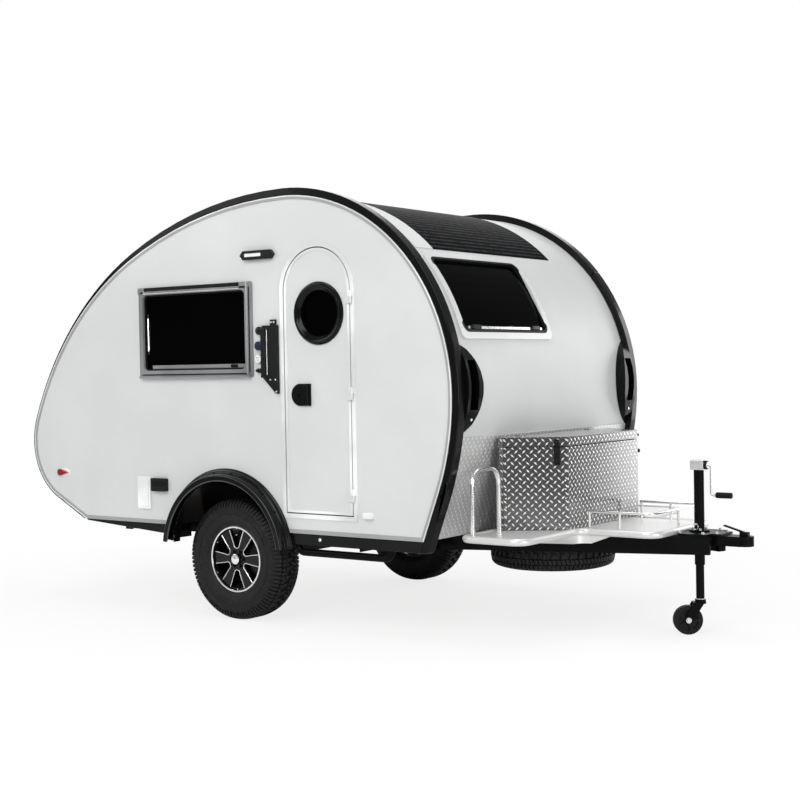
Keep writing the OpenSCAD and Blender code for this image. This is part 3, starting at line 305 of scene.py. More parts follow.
@dataclass(frozen=True)
class Finish:
    """A surface as it leaves the paint shop or the press."""

    slot: str
    colour: Colour
    roughness: float = 0.4
    shine: float = 0.5
    metal: float = 0.0
    # Share by which patches of handling go lighter or darker
    wear: float = 0.05
    # Where the patches start and are full, in the noise
    patch: Flat = (0.35, 0.7)
    # How far the roughness varies
    uneven: float = 0.1
    coat: float = 0.0
    coat_roughness: float = 0.03
    # Relief: metres from its lowest to its highest, and how much of it shows
    depth: float = 0.00006
    strength: float = 0.5

    def material(self) -> bpy.types.Material:
        """Builds the finish's material."""
        raise NotImplementedError

    def toned(self, share: float) -> Colour:
        """The colour times a share, no lighter than white."""
        return tuple(min(1.0, c * share) for c in self.colour)

    def worn(self, g: Graph) -> Socket:
        """The colour with slight patches of handling."""
        patches = g.noise(Noise.PATCHES).step(*self.patch)
        return g.mix(patches, self.toned(1 - self.wear), self.toned(1 + self.wear))

    def varied(self, noise: Value) -> Value:
        """The roughness, uneven with that noise."""
        return self.roughness + (noise - 0.5) * self.uneven

    def shaded(
        self, g: Graph, colour: Socket, rough: Value | float, height: Value, metal: Value | float = 0.0
    ) -> bpy.types.Material:
        """Ends the tree in the finish's shader.

        Args:
            g: the material's tree.
            colour: the base colour's socket.
            rough: the roughness.
            height: the relief, 0 to 1.
            metal: how metallic it is.

        Returns:
            The finished material.
        """
        inputs = {
            "Base Color": colour,
            "Roughness": rough,
            "Metallic": metal,
            "Specular IOR Level": self.shine,
            "Coat Weight": self.coat,
            "Coat Roughness": self.coat_roughness,
            "Normal": g.bump(height, self.depth, self.strength),
        }
        return g.ended(g.node("ShaderNodeBsdfPrincipled", None, inputs))


@dataclass(frozen=True)
class Paint(Finish):
    """Gloss or satin paint with a little orange peel."""

    wear: float = 0.025
    uneven: float = 0.12
    coat: float = 0.5
    coat_roughness: float = 0.08

    def material(self) -> bpy.types.Material:
        """Builds painted sheet.

        Returns:
            The finished material.
        """
        g = Graph(self.slot)
        rough = self.varied(g.noise(Noise.SHEEN))
        return self.shaded(g, self.worn(g), rough, g.noise(Noise.PEEL), self.metal)


@dataclass(frozen=True)
class Moulding(Finish):
    """Moulded plastic with a fine grain."""

    wear: float = 0.18
    uneven: float = 0.16
    coat_roughness: float = 0.06
    depth: float = 0.00022
    strength: float = 0.6

    def material(self) -> bpy.types.Material:
        """Builds grained plastic."""
        g = Graph(self.slot)
        return self.shaded(g, self.worn(g), self.varied(g.noise(Noise.HANDLING)), g.noise(Noise.SKIN))


@dataclass(frozen=True)
class BrightMetal(Finish):
    """Polished or drawn metal with fine lines along its length."""

    metal: float = 1.0
    uneven: float = 0.14
    strength: float = 0.4
    lines: Point = (6.0, 260.0, 260.0)

    def material(self) -> bpy.types.Material:
        """Builds drawn metal.

        Returns:
            The finished material.
        """
        g = Graph(self.slot)
        drawn = g.noise(Noise.DRAWN, self.lines)
        return self.shaded(g, self.worn(g), self.varied(g.noise(Noise.HAZE)), drawn, self.metal)


@dataclass(frozen=True)
class TreadPlate(Finish):
    """Bright aluminium plate rolled with raised lozenges, alternately leaning left and right."""

    metal: float = 1.0
    depth: float = 0.0016
    strength: float = 1.0
    pitch: float = 0.029
    # Half length and half width of a lozenge, as shares of the pitch, and the rise at its edge
    length: float = 0.56
    width: float = 0.19
    rise: float = 0.45
    # Share of along and of up in a lozenge's lean
    lean: float = 0.7071
    # Colour of the plate between lozenges, as a share: darker than the lozenges of the same metal, a painted
    # shade standing in for the plate's darker reflection
    plain: float = 0.2
    # How much rougher and less metallic the lozenges are
    raised_rough: float = 0.12
    raised_dull: float = 0.5
    # Share of up or down from which a face counts as level
    level: float = 0.7
    # Share of up or down above which a face of a bent sheet is patterned; below 0 for all faces
    level_from: float = -0.001
    # Keeps the upright share of a level face above zero
    least: float = 0.0001

    def lozenges(self, g: Graph) -> Value:
        """Height of the raised pattern.

        Args:
            g: the material's tree.

        Returns:
            0 on the plate, 1 on a lozenge.
        """
        upright = (g.nx * g.nx + g.ny * g.ny).root() + self.least
        flat = abs(g.nz) > self.level
        u = flat * g.x + (1 - flat) * (g.y * g.nx - g.x * g.ny) / upright
        v = flat * g.y + (1 - flat) * g.z
        slant = self.lean / self.pitch
        rising, falling = (u + v) * slant, (v - u) * slant
        turned_cell = (rising.floor() + falling.floor()) % 2.0
        a, b = abs(rising % 1.0 - 0.5), abs(falling % 1.0 - 0.5)
        along = turned_cell * a + (1 - turned_cell) * b
        beside = turned_cell * b + (1 - turned_cell) * a
        return (1 - along / self.length - beside / self.width).step(0.0, self.rise)

    def material(self) -> bpy.types.Material:
        """Builds tread plate.

        Returns:
            The finished material.
        """
        g = Graph(self.slot)
        raised = self.lozenges(g) * (abs(g.nz) > self.level_from)
        # Plate between lozenges darker than the lozenges: painted shade, the same metal throughout
        colour = g.mix(raised, self.toned(self.plain), self.colour)
        rough = self.varied(g.noise(Noise.PLATE_HAZE)) + raised * self.raised_rough
        return self.shaded(g, colour, rough, raised, self.metal * (1 - raised * self.raised_dull))


@dataclass(frozen=True)
class Pane(Finish):
    """Dark tinted acrylic."""

    wear: float = 0.3
    uneven: float = 0.05
    depth: float = 0.0012
    strength: float = 0.15

    def material(self) -> bpy.types.Material:
        """Builds the dark pane.

        Returns:
            The finished material.
        """
        g = Graph(self.slot)
        rough = self.roughness + g.noise(Noise.FILM) * self.uneven
        return self.shaded(g, self.worn(g), rough, g.noise(Noise.WAVES))


@dataclass(frozen=True)
class Plywood(Finish):
    """Sealed birch ply with its grain along the trailer."""

    coat: float = 0.2
    depth: float = 0.0004
    strength: float = 0.4
    grain: Point = (1.0, 9.0, 9.0)
    dark: float = 0.62

    def material(self) -> bpy.types.Material:
        """Builds sealed ply.

        Returns:
            The finished material.
        """
        g = Graph(self.slot)
        grain = g.noise(Noise.WOOD, self.grain)
        colour = g.mix(grain.step(*self.patch), self.colour, self.toned(self.dark))
        return self.shaded(g, colour, self.roughness + grain * self.uneven, grain)


@dataclass(frozen=True)
class SolarCells(Finish):
    """Dark cells with fine pale lines along the trailer's width, and a plain border on the right."""

    depth: float = 0.0005
    strength: float = 0.4
    pitch: float = 0.034
    # The roof's bend below the panel: radius and middle, in metres
    bend_r: float = 1.112
    bend_x: float = (445.0 + PLACE_X) * MM
    bend_z: float = 1.295
    # How much paler a line is, and where it starts and is full in its wave
    pale: float = 14.0
    line: Flat = (0.3, 1.0)
    # Noise in which a line starts to show and is whole
    whole: Flat = (0.2, 0.6)
    margin_y: float = -0.68
    margin_edge: float = 0.002
    border: Colour = (0.6, 0.61, 0.605)

    def material(self) -> bpy.types.Material:
        """Builds the cell sheet.

        Returns:
            The finished material.
        """
        g = Graph(self.slot)
        along = (g.x - self.bend_x).angle(g.z - self.bend_z) * self.bend_r
        wave = (along * (2 * math.pi / self.pitch)).cosine() * 0.5 + 0.5
        strip = wave.step(*self.line)
        cell = g.mix(strip * g.noise(Noise.CELLS).step(*self.whole), self.colour, self.toned(self.pale))
        beyond = 1 - g.y.step(self.margin_y - self.margin_edge, self.margin_y)
        return self.shaded(g, g.mix(beyond, cell, self.border), self.roughness, strip * (1 - beyond))


@dataclass(frozen=True)
class Rubber(Finish):
    """Black rubber, duller where dust has settled."""

    depth: float = 0.0004
    dust: float = 0.35
    # Noise in which dust starts and lies full, what it adds to the colour and to the roughness
    settled: Flat = (0.45, 0.8)
    dust_pale: float = 0.03
    dust_rough: float = 0.2

    def material(self) -> bpy.types.Material:
        """Builds rubber.

        Returns:
            The finished material.
        """
        g = Graph(self.slot)
        dusty = g.noise(Noise.DUST).step(*self.settled) * self.dust
        colour = g.mix(dusty, self.colour, tuple(c + self.dust_pale for c in self.colour))
        return self.shaded(g, colour, self.roughness + dusty * self.dust_rough, g.noise(Noise.PORES))


@dataclass(frozen=True)
class Lens(Finish):
    """Ribbed lamp lens."""

    coat: float = 0.3
    coat_roughness: float = 0.04
    depth: float = 0.0012
    strength: float = 0.6
    rib: float = 0.009
    deep: float = 0.55

    def material(self) -> bpy.types.Material:
        """Builds the ribbed lens.

        Returns:
            The finished material.
        """
        g = Graph(self.slot)
        rib = abs((g.z / self.rib) % 1.0 - 0.5) * 2
        return self.shaded(g, g.mix(rib, self.toned(self.deep), self.colour), self.roughness, rib)


FINISHES: tuple[Finish, ...] = (
    Paint("frame_black", (0.003, 0.0031, 0.0033), 0.32, 0.05, coat=0.03, depth=0.0002),
    Paint("wall_white", (0.63, 0.645, 0.64), 0.32, 0.35, coat=0.1),
    Paint("panel_silver", (0.6, 0.61, 0.603), 0.5, 0.3, coat=0.06, metal=0.12),
    TreadPlate("tread_plate", (0.95, 0.953, 0.945), 0.14),
    Moulding("trim_black", (0.003, 0.0031, 0.0034), 0.2, 0.12, depth=0.0001, coat=0.12),
    Moulding("gloss_black", (0.003, 0.003, 0.0033), 0.18, 0.12, depth=0.00006, coat=0.08),
    BrightMetal("bright_trim", (0.9, 0.905, 0.905), 0.2),
    Moulding("window_grey", (0.2, 0.205, 0.21), 0.36, 0.4, depth=0.00012),
    Pane("pane_dark", (0.0006, 0.0006, 0.0007), 0.05, 0.02),
    Plywood("floor_ply", (0.5, 0.39, 0.25), 0.45),
    SolarCells("solar", (0.0022, 0.0023, 0.0025), 0.4, 0.003),
    Rubber("tyre", (0.008, 0.008, 0.0085), 0.55, 0.25),
    Paint("rim", (0.004, 0.004, 0.0045), 0.24, 0.2, coat=0.1),
    Paint("jack_black", (0.003, 0.003, 0.0033), 0.28, 0.05, coat=0.03, depth=0.00015),
    BrightMetal("jack_zinc", (0.78, 0.785, 0.79), 0.3),
    BrightMetal("bright_tube", (0.86, 0.865, 0.855), 0.2),
    Rubber("rubber", (0.006, 0.006, 0.0065), 0.5, 0.15, dust=0.2),
    Lens("lamp_red", (0.36, 0.008, 0.007), 0.16, 0.2),
    Moulding("lamp_black", (0.004, 0.004, 0.0045), 0.2, 0.2, coat=0.06),
    Moulding("vent_white", (0.82, 0.825, 0.82), 0.4, depth=0.0001),
    Moulding("fittings", (0.007, 0.0072, 0.008), 0.32, 0.2, coat=0.06),
    TreadPlate("tread_pale", (0.93, 0.933, 0.925), 0.3, plain=0.72, metal=0.55),
    TreadPlate("deck_plate", (0.85, 0.853, 0.84), 0.34, plain=0.8, metal=0.45, level_from=0.969),
    BrightMetal("satin_trim", (0.7, 0.71, 0.71), 0.42, metal=0.3),
    BrightMetal("edge_grey", (0.35, 0.355, 0.355), 0.42, metal=0.15),
    # White of the moulding bead; on the door's frame and band partly a painted highlight
    Moulding("edge_white_and_highlight", (0.75, 0.755, 0.75), 0.32, 0.4, depth=0.00006),
    # Grey of the fender's rolled lip and ridge: a painted highlight
    Moulding("fender_highlight_grey", (0.07, 0.072, 0.074), 0.3, 0.4, depth=0.00006),
    Moulding("cap_blue", (0.012, 0.014, 0.045), 0.3, 0.3, coat=0.1),
)

# Nodes whose surface differs from the plain finish of their slot
FINER: dict[str, str] = {
    "end_window_frames": "satin_trim",
    "edge_mouldings": "edge_grey",
    # The door frame's paler white is partly a painted highlight along the door's outline
    "door_frame": "edge_white_and_highlight",
    "deck": "deck_plate",
    "apron": "tread_pale",
}


class Paints:
    """All finishes, built once, by slot."""

    def __init__(self, finishes: Sequence[Finish]) -> None:
        """Builds every finish's material."""
        self.by_slot = {f.slot: f.material() for f in finishes}

    def put(self, thing: bpy.types.Object, slot: str) -> None:
        """Gives an object that finish in all its material slots."""
        thing.data.materials.clear()
        thing.data.materials.append(self.by_slot[slot])

    def dress_frame(self) -> None:
        """Dresses every CAD node by the record's own slots, or by a finer finish of that slot."""
        for row in frame["record"]["subparts"]:
            self.put(frame["nodes"][row["node"]], FINER.get(row["node"], row["material_slot"]))


class Head(Enum):
    """Bolt heads: facets, then radius and height shares of the profile."""

    DOME = (14, ((1.0, 0.1), (0.98, 0.4), (0.8, 0.8), (0.42, 0.97), (0.0, 1.0)))
    HEX = (6, ((1.0, 0.1), (1.0, 0.85), (0.84, 1.0), (0.0, 1.0)))


# A washer's radius and thickness, as shares of its bolt head's
WASHER = (1.25, 0.18)
WASHER_FACETS = 14
# How deep a washer is bedded, in millimetres
WASHER_BED = 0.3


class Bar(NamedTuple):
    """A straight bar on a surface, in millimetres: ends along and up, heights of its faces, bevel."""

    x0: float
    x1: float
    z0: float
    z1: float
    low: float
    high: float
    bevel: float = 0.0


class Turned(NamedTuple):
    """A turned fitting on a wall, in millimetres: its place, and its profile of radius and height."""

    x: float
    z: float
    out: float
    profile: tuple[Flat, ...]
    facets: int = 28


class Stud(NamedTuple):
    """A domed bolt on a wall, in millimetres: its place, width and height."""

    x: float
    z: float
    out: float
    width: float
    height: float


def around(steps: int) -> list[float]:
    """Angles once round a circle, in radians."""
    return [2 * math.pi * k / steps for k in range(steps)]


def sweep(first: float, last: float, steps: int) -> list[float]:
    """Angles in radians from one to another in degrees, with both ends."""
    return [math.radians(first + (last - first) * k / steps) for k in range(steps + 1)]


def on_arc(x: float, z: float, r: float, a: float) -> Flat:
    """The point of a circle at an angle in radians."""
    return x + r * math.cos(a), z + r * math.sin(a)


def inset(outline: Sequence[Flat], by: float) -> list[Flat]:
    """An outline moved inwards.

    Args:
        outline: corners, in order.
        by: how far each side moves.

    Returns:
        As many corners.
    """
    points = [Vector(p) for p in outline]
    following = points[1:] + points[:1]
    area = sum(a.x * b.y - b.x * a.y for a, b in zip(points, following))
    turn = 1 if area > 0 else -1
    # Least share of a side's move that a sharp corner is worked out with
    sharpest = 0.3
    moved = []
    for before, spot, after in zip(points[-1:] + points, points, following):
        a, b = (spot - before).normalized(), (after - spot).normalized()
        side = Vector((-a.y - b.y, a.x + b.x)) * turn
        reach = by / max(sharpest, side.length / 2)
        moved.append(tuple(spot + side.normalized() * reach))
    return moved


def rounded(x: float, z: float, w: float, h: float, r: float, steps: int = 5) -> list[Flat]:
    """A rectangle with round corners.

    Args:
        x: its middle along.
        z: its middle up.
        w: its width.
        h: its height.
        r: radius of the corners.
        steps: facets of a corner.

    Returns:
        Its corners, in order.
    """
    corners = []
    for k, (sx, sz) in enumerate(((1, 1), (-1, 1), (-1, -1), (1, -1))):
        middle = (x + sx * (w / 2 - r), z + sz * (h / 2 - r))
        corners += [on_arc(*middle, r, a) for a in sweep(90 * k, 90 * (k + 1), steps)]
    return corners


def on_wall(side: Side, x: float = 0.0, z: float = 0.0) -> Place:
    """Places on a side wall from a point of it: along the trailer, up and out, in millimetres."""
    return lambda u, v, out: at(x + u, side.value * (HALF_W + out), z + v)


def turned(out: Vector, place: Vector) -> Matrix:
    """A place whose z axis points out."""
    return Matrix.Translation(place) @ out.to_track_quat("Z", "Y").to_matrix().to_4x4()


def grid(rows: int, n: int, closed: bool = False, loops: bool = True) -> list[tuple[int, ...]]:
    """Faces between rows of as many points.

    Args:
        rows: how many rows follow one another.
        n: points in a row.
        closed: joins the last row to the first; an open run gets a face at each end.
        loops: joins each row's last point to its first.

    Returns:
        The faces, by point number.
    """
    faces = [
        (r * n + i, r * n + (i + 1) % n, (r + 1) % rows * n + (i + 1) % n, (r + 1) % rows * n + i)
        for r in range(rows if closed else rows - 1)
        for i in range(n if loops else n - 1)
    ]
    ends = () if closed else (range(n), range((rows - 1) * n, rows * n))
    return [*faces, *(tuple(end) for end in ends)]


class Shape:
    """A mesh that grows by joined parts."""

    def __init__(self) -> None:
        """Starts with no vertex."""
        self.points: list[Point] = []
        self.faces: list[tuple[int, ...]] = []

    def add(
        self, points: Sequence[Sequence[float]], faces: Sequence[Sequence[int]], place: Matrix | None = None
    ) -> None:
        """Joins a part.

        Args:
            points: its vertices, in metres.
            faces: its faces, by vertex number.
            place: where it goes.
        """
        base = len(self.points)
        where = place or Matrix.Identity(4)
        self.points += [tuple(where @ Vector(p)) for p in points]
        self.faces += [tuple(base + i for i in f) for f in faces]

    def lathe(self, profile: Sequence[Flat], steps: int, place: Matrix, closed: bool = False) -> None:
        """Joins a turned part.

        Args:
            profile: radius and height pairs, in millimetres.
            steps: facets round the axis.
            place: where its z axis goes.
            closed: joins the profile's end to its start.
        """
        points = [
            (r * MM * math.cos(a), r * MM * math.sin(a), h * MM) for a in around(steps) for r, h in profile
        ]
        self.add(points, grid(steps, len(profile), closed=True, loops=closed), place)

    def slab(
        self, outline: Sequence[Flat], low: float, high: float, place: Place, bevel: float = 0.0
    ) -> None:
        """Joins a plate with that outline.

        Args:
            outline: its corners, in order.
            low: height of its lower face.
            high: height of its upper face.
            place: takes a corner and a height to a place.
            bevel: width of the slanted edge round the upper face.
        """
        rings = [(outline, low), (outline, high - bevel)]
        if bevel:
            rings.append((inset(outline, bevel), high))
        points = [place(u, v, h) for ring, h in rings for u, v in ring]
        self.add(points, grid(len(rings), len(outline)))

    def bar(self, form: Bar, place: Place) -> None:
        """Joins a straight bar with bevelled edges."""
        x0, x1, z0, z1, low, high, bevel = form
        self.slab([(x0, z0), (x1, z0), (x1, z1), (x0, z1)], low, high, place, bevel)

    def ring(
        self, outer: Sequence[Flat], inner: Sequence[Flat], low: float, high: float, place: Place
    ) -> None:
        """Joins a flat ring between two outlines of as many corners.

        Args:
            outer: its outer corners.
            inner: its inner corners.
            low: height of its lower face.
            high: height of its upper face.
            place: takes a corner and a height to a place.
        """
        rings = ((outer, low), (outer, high), (inner, high), (inner, low))
        points = [place(u, v, h) for ring, h in rings for u, v in ring]
        self.add(points, grid(len(rings), len(outer), closed=True))

    def wire(self, path: Sequence[Vector], radius: float, sides: int = 8, closed: bool = False) -> None:
        """Joins a round wire along a path.

        Args:
            path: its points, in metres.
            radius: its radius, in millimetres.
            sides: facets round it.
            closed: joins its end to its start.
        """
        n = len(path)
        # A direction that no path here runs along
        aside = Vector((0.31, 0.27, 0.91))
        points = []
        for i, spot in enumerate(path):
            before = path[i - 1] if i or closed else spot
            after = path[(i + 1) % n] if i < n - 1 or closed else spot
            ahead = (after - before).normalized()
            across = ahead.cross(aside).normalized()
            above = ahead.cross(across)
            points += [
                spot + radius * MM * (math.cos(a) * across + math.sin(a) * above) for a in around(sides)
            ]
        self.add(points, grid(n, sides, closed))

    def skin(self, rows: Sequence[Sequence[Vector]]) -> None:
        """Joins a closed strip through loops of as many points, in order along it."""
        self.add([spot for row in rows for spot in row], grid(len(rows), len(rows[0])))

    def bolt(self, place: Matrix, width: float, height: float, head: Head = Head.DOME) -> None:
        """Joins a bolt head with its washer.

        Args:
            place: where it sits, z out.
            width: across the head, in millimetres.
            height: of the head, in millimetres.
            head: its form.
        """
        r, washer_r, washer_h = width / 2, width / 2 * WASHER[0], height * WASHER[1]
        self.lathe([(washer_r, -WASHER_BED), (washer_r, washer_h), (0.0, washer_h)], WASHER_FACETS, place)
        facets, profile = head.value
        self.lathe([(r * u, height * v) for u, v in profile], facets, place)

    def piece(
        self, name: str, body: str, slot: str, paints: Paints, smooth: float = 35.0, finish: str | None = None
    ) -> bpy.types.Object:
        """Makes the object.

        Args:
            name: the piece's name.
            body: the CAD body it rides on.
            slot: the record's material slot.
            paints: the finishes.
            smooth: angle in degrees below which edges look round.
            finish: a finish other than the slot's own.

        Returns:
            The object, riding on its body.
        """
        mesh = bpy.data.meshes.new(name)
        mesh.from_pydata(self.points, [], self.faces)
        mesh.validate()
        work = bmesh.new()
        work.from_mesh(mesh)
        bmesh.ops.recalc_face_normals(work, faces=work.faces)
        work.to_mesh(mesh)
        work.free()
        thing = bpy.data.objects.new(name, mesh)
        bpy.context.scene.collection.objects.link(thing)
        paints.put(thing, finish or slot)
        mesh.shade_smooth()
        mesh.set_sharp_from_angle(angle=math.radians(smooth))
        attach(thing, body)
        LOG.info("%s: %d faces on %s", name, len(self.faces), body)
        return thing


@dataclass
class SoftEdges:
    """Rounds the edges of the CAD nodes and shades their curves smoothly, by modifiers alone."""

    # Distance in metres within which split corners are joined
    weld: float = 0.00002
    # Angles in radians: from which an edge is a crease, and within which faces are one flat face
    crease: float = 0.5
    flat: float = 0.008
    segments: int = 2
    # Width of the rounding of the nodes with plain faces, in metres
    widths: dict[str, float] = field(default_factory=lambda: {
        "tub": 0.004, "tub_lid": 0.005, "fenders": 0.0025, "frame": 0.003, "grab_handles": 0.004,
        "coupler": 0.005, "jack_fork": 0.003, "roof_vent": 0.006, "window_frames": 0.0025,
        "door_handle": 0.003, "porch_light": 0.003, "jack_crank": 0.0025, "table_bracket": 0.002,
        "vents": 0.002, "tub_latches": 0.002, "jack_tube": 0.003,
    })
    # The same for strips along the body's curve, whose faces stay as they are
    strips: dict[str, float] = field(default_factory=lambda: {
        "front_rails": 0.007, "roof_rails": 0.005, "sills": 0.004,
    })
    skipped: tuple[str, ...] = ("tyre_right", "tyre_left", "spare_tyre", "window_panes", "porthole_glass")

    def group(self) -> bpy.types.NodeTree:
        """The node group that joins split corners and marks creases.

        Returns:
            The group's tree.
        """
        tree = bpy.data.node_groups.new("joined_and_creased", "GeometryNodeTree")
        for way in ("INPUT", "OUTPUT"):
            tree.interface.new_socket("Geometry", in_out=way, socket_type="NodeSocketGeometry")
        last = tree.nodes.new("NodeGroupInput").outputs[0]
        for name in ("custom_normal", "sharp_edge", "sharp_face"):
            drop = tree.nodes.new("GeometryNodeRemoveAttribute")
            drop.inputs["Name"].default_value = name
            tree.links.new(last, drop.inputs["Geometry"])
            last = drop.outputs[0]
        join = tree.nodes.new("GeometryNodeMergeByDistance")
        join.inputs["Distance"].default_value = self.weld
        tree.links.new(last, join.inputs["Geometry"])
        turn = tree.nodes.new("GeometryNodeInputMeshEdgeAngle")
        sharp = tree.nodes.new("ShaderNodeMath")
        sharp.operation = "GREATER_THAN"
        sharp.inputs[1].default_value = self.crease
        tree.links.new(turn.outputs[0], sharp.inputs[0])
        mark = tree.nodes.new("GeometryNodeSetShadeSmooth")
        mark.domain = "EDGE"
        mark.inputs["Shade Smooth"].default_value = False
        tree.links.new(join.outputs[0], mark.inputs["Geometry"])
        tree.links.new(sharp.outputs[0], mark.inputs["Selection"])
        tree.links.new(mark.outputs[0], tree.nodes.new("NodeGroupOutput").inputs[0])
        return tree

    def build(self) -> None:
        """Smooths every node but tyres and panes, and rounds the edges of those listed."""
        joined = self.group()
        for name, thing in frame["nodes"].items():
            if name in self.skipped:
                continue
            thing.modifiers.new("joined", "NODES").node_group = joined
            width = self.widths.get(name) or self.strips.get(name)
            if not width:
                continue
            if name in self.widths:
                whole = thing.modifiers.new("whole_faces", "DECIMATE")
                whole.decimate_type = "DISSOLVE"
                whole.angle_limit = self.flat
            soft = thing.modifiers.new("soft_edges", "BEVEL")
            soft.limit_method = "ANGLE"
            soft.angle_limit = self.crease
            soft.width = width
            soft.use_clamp_overlap = name in self.widths
            soft.segments = self.segments
            soft.harden_normals = True


@dataclass
class RoadTyres:
    """Tyres with an all-terrain tread over the CAD tyres' form, in millimetres."""

    depth: float = 10.0
    pitches: int = 44
    facets: int = 96
    # Angle in degrees below which the tread's edges look round
    smooth: float = 30.0
    # Tyres: CAD node, the body that it turns with, direction of its axle
    tyres: tuple[tuple[str, str, Point], ...] = (
        ("tyre_right", "wheel_right", (0.0, 1.0, 0.0)),
        ("tyre_left", "wheel_left", (0.0, 1.0, 0.0)),
        ("spare_tyre", "trailer", (0.0, 0.0, 1.0)),
    )
    # Half section from the bead to the crown: radius, distance from the middle plane
    section: tuple[Flat, ...] = (
        (192.0, 77.4), (203.0, 88.0), (214.0, 94.6), (232.0, 102.5), (254.0, 107.3), (280.0, 107.0),
        (300.0, 105.2), (314.0, 102.0), (328.0, 96.6), (338.0, 89.0), (345.0, 79.4), (349.5, 62.0),
        (352.0, 43.0),
    )
    # Points of the section, from either end, by which ribs and tread are measured
    measured: int = 9
    # Ribs round the sidewall: radius and height; and their form: distance over a rib, share of its height
    ribs: tuple[Flat, ...] = (
        (207.0, 1.8), (222.0, 1.2), (239.0, 1.2), (258.0, 2.6), (273.0, 1.2), (289.0, 1.6),
    )
    rib_form: tuple[Flat, ...] = ((0.0, 0.0), (1.2, 1.0), (5.6, 1.0), (6.8, 0.0))
    # Radius from which the carcass lies below the tread, and over which it sinks
    sunk_from: float = 300.0
    sunk_over: float = 22.0
    # Radius from which the crown starts; shares of the depth that shoulder and crown lie down and aside
    crown_r: float = 345.0
    sunk_shoulder: Flat = (0.45, 0.8)
    sunk_crown: Flat = (1.0, 0.2)
    # Tread blocks in a pitch: first and last distance across, first and last share of the pitch, slant
    blocks: tuple[tuple[float, float, float, float, float], ...] = (
        (6.0, 34.0, 0.05, 0.46, 0.16),
        (-34.0, -6.0, 0.55, 0.96, 0.16),
        (-26.0, 26.0, 0.52, 0.6, -0.3),
        (40.0, 66.0, 0.1, 0.55, -0.14),
        (-66.0, -40.0, 0.6, 1.05, -0.14),
        (40.0, 66.0, 0.62, 1.04, -0.14),
        (-66.0, -40.0, 0.12, 0.54, -0.14),
    )
    # Radius that blocks are rooted towards, share of y in that direction, and root by share of the depth
    root_r: float = 300.0
    root_lean: float = 0.55
    root: float = 1.15
    # Slant of a block's flanks, in radians
    flank: float = 0.004
    # Shoulder lugs in a pitch: share of the pitch from and to, radius that they reach down to
    lugs: tuple[tuple[float, float, float], ...] = ((0.04, 0.44, 296.0), (0.54, 0.94, 312.0))
    # Where lugs start across, how far each row of them is turned, and how they thin down the shoulder
    lug_y: float = 71.0
    lug_turns: tuple[tuple[int, float], ...] = ((1, 0.0), (-1, 0.5))
    lug_thin: float = 0.06
    lug_fall: float = 50.0

    def across(self, y: float) -> float:
        """Radius of the tread at a distance from the middle plane."""
        rs, ys = zip(*self.section[: -self.measured - 1 : -1])
        return float(np.interp(abs(y), ys, rs))

    def carcass(self, shape: Shape, place: Matrix) -> None:
        """Joins the turned body, let in below the tread.

        Args:
            shape: the tyre's mesh.
            place: the wheel's middle, z along the axle.
        """
        half = []
        for r, y in self.section:
            sunk = self.depth * min(1.0, max(0.0, (r - self.sunk_from) / self.sunk_over))
            down, aside = self.sunk_shoulder if r < self.crown_r else self.sunk_crown
            half.append((r - sunk * down, y - sunk * aside))
        rs, ys = zip(*half[: self.measured])
        ribs = [
            (start + over, float(np.interp(start + over, rs, ys)) + lift * share)
            for start, lift in self.ribs
            for over, share in self.rib_form
        ]
        outer = sorted(half + ribs, key=lambda p: p[0])
        profile = [*outer, *((r, -y) for r, y in reversed(outer))]
        shape.lathe(profile, self.facets, place, closed=True)

    def block(self, shape: Shape, place: Matrix, rows: Sequence[tuple[float, float, float, float]]) -> None:
        """Joins one tread block, open below.

        Args:
            shape: the tyre's mesh.
            place: the wheel's middle.
            rows: radius, distance across, first and last angle of each row over the block.
        """
        points = []
        for r, y, first, last in rows:
            inward = Vector((r - self.root_r, y * self.root_lean)).normalized() * self.depth * self.root
            foot, top = (r - inward.x, y - inward.y), (r, y)
            corners = ((foot, first), (foot, last), (top, last - self.flank), (top, first + self.flank))
            points += [(q * MM * math.cos(a), q * MM * math.sin(a), w * MM) for (q, w), a in corners]
        starts = range(0, 4 * len(rows) - 4, 4)
        faces = [
            (i + s, i + (s + 1) % 4, i + 4 + (s + 1) % 4, i + 4 + s) for i in starts for s in (1, 2, 3)
        ]
        end = 4 * len(rows) - 4
        shape.add(points, [*faces, (0, 3, 2, 1), (end, end + 1, end + 2, end + 3)], place)

    def tread(self, shape: Shape, place: Matrix) -> None:
        """Joins all blocks and lugs.

        Args:
            shape: the tyre's mesh.
            place: the wheel's middle.
        """
        step = 2 * math.pi / self.pitches
        shoulder = [p for p in reversed(self.section) if p[1] > self.lug_y]
        for k in range(self.pitches):
            for y0, y1, s0, s1, slant in self.blocks:
                rows = []
                for t in (0.0, 0.5, 1.0):
                    y, turn = y0 + (y1 - y0) * t, k + slant * (t - 0.5)
                    rows.append((self.across(y), y, (turn + s0) * step, (turn + s1) * step))
                self.block(shape, place, rows)
            for side, offset in self.lug_turns:
                for s0, s1, reach in self.lugs:
                    first, last = k + s0 + offset, k + s1 + offset
                    rows = [(self.across(self.lug_y), self.lug_y * side, first * step, last * step)]
                    for r, y in shoulder:
                        if r >= reach:
                            thin = self.lug_thin * (self.crown_r - r) / self.lug_fall
                            rows.append((r, y * side, (first + thin) * step, (last - thin) * step))
                    self.block(shape, place, rows)

    def build(self, paints: Paints) -> None:
        """Builds both road tyres and the spare over their CAD nodes.

        Args:
            paints: the finishes.
        """
        for node, body, axle in self.tyres:
            low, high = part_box(node)
            place = turned(Vector(axle), (low + high) / 2)
            shape = Shape()
            self.carcass(shape, place)
            self.tread(shape, place)
            made = shape.piece(f"{node}_tread", body, "tyre", paints, self.smooth)
            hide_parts(node)


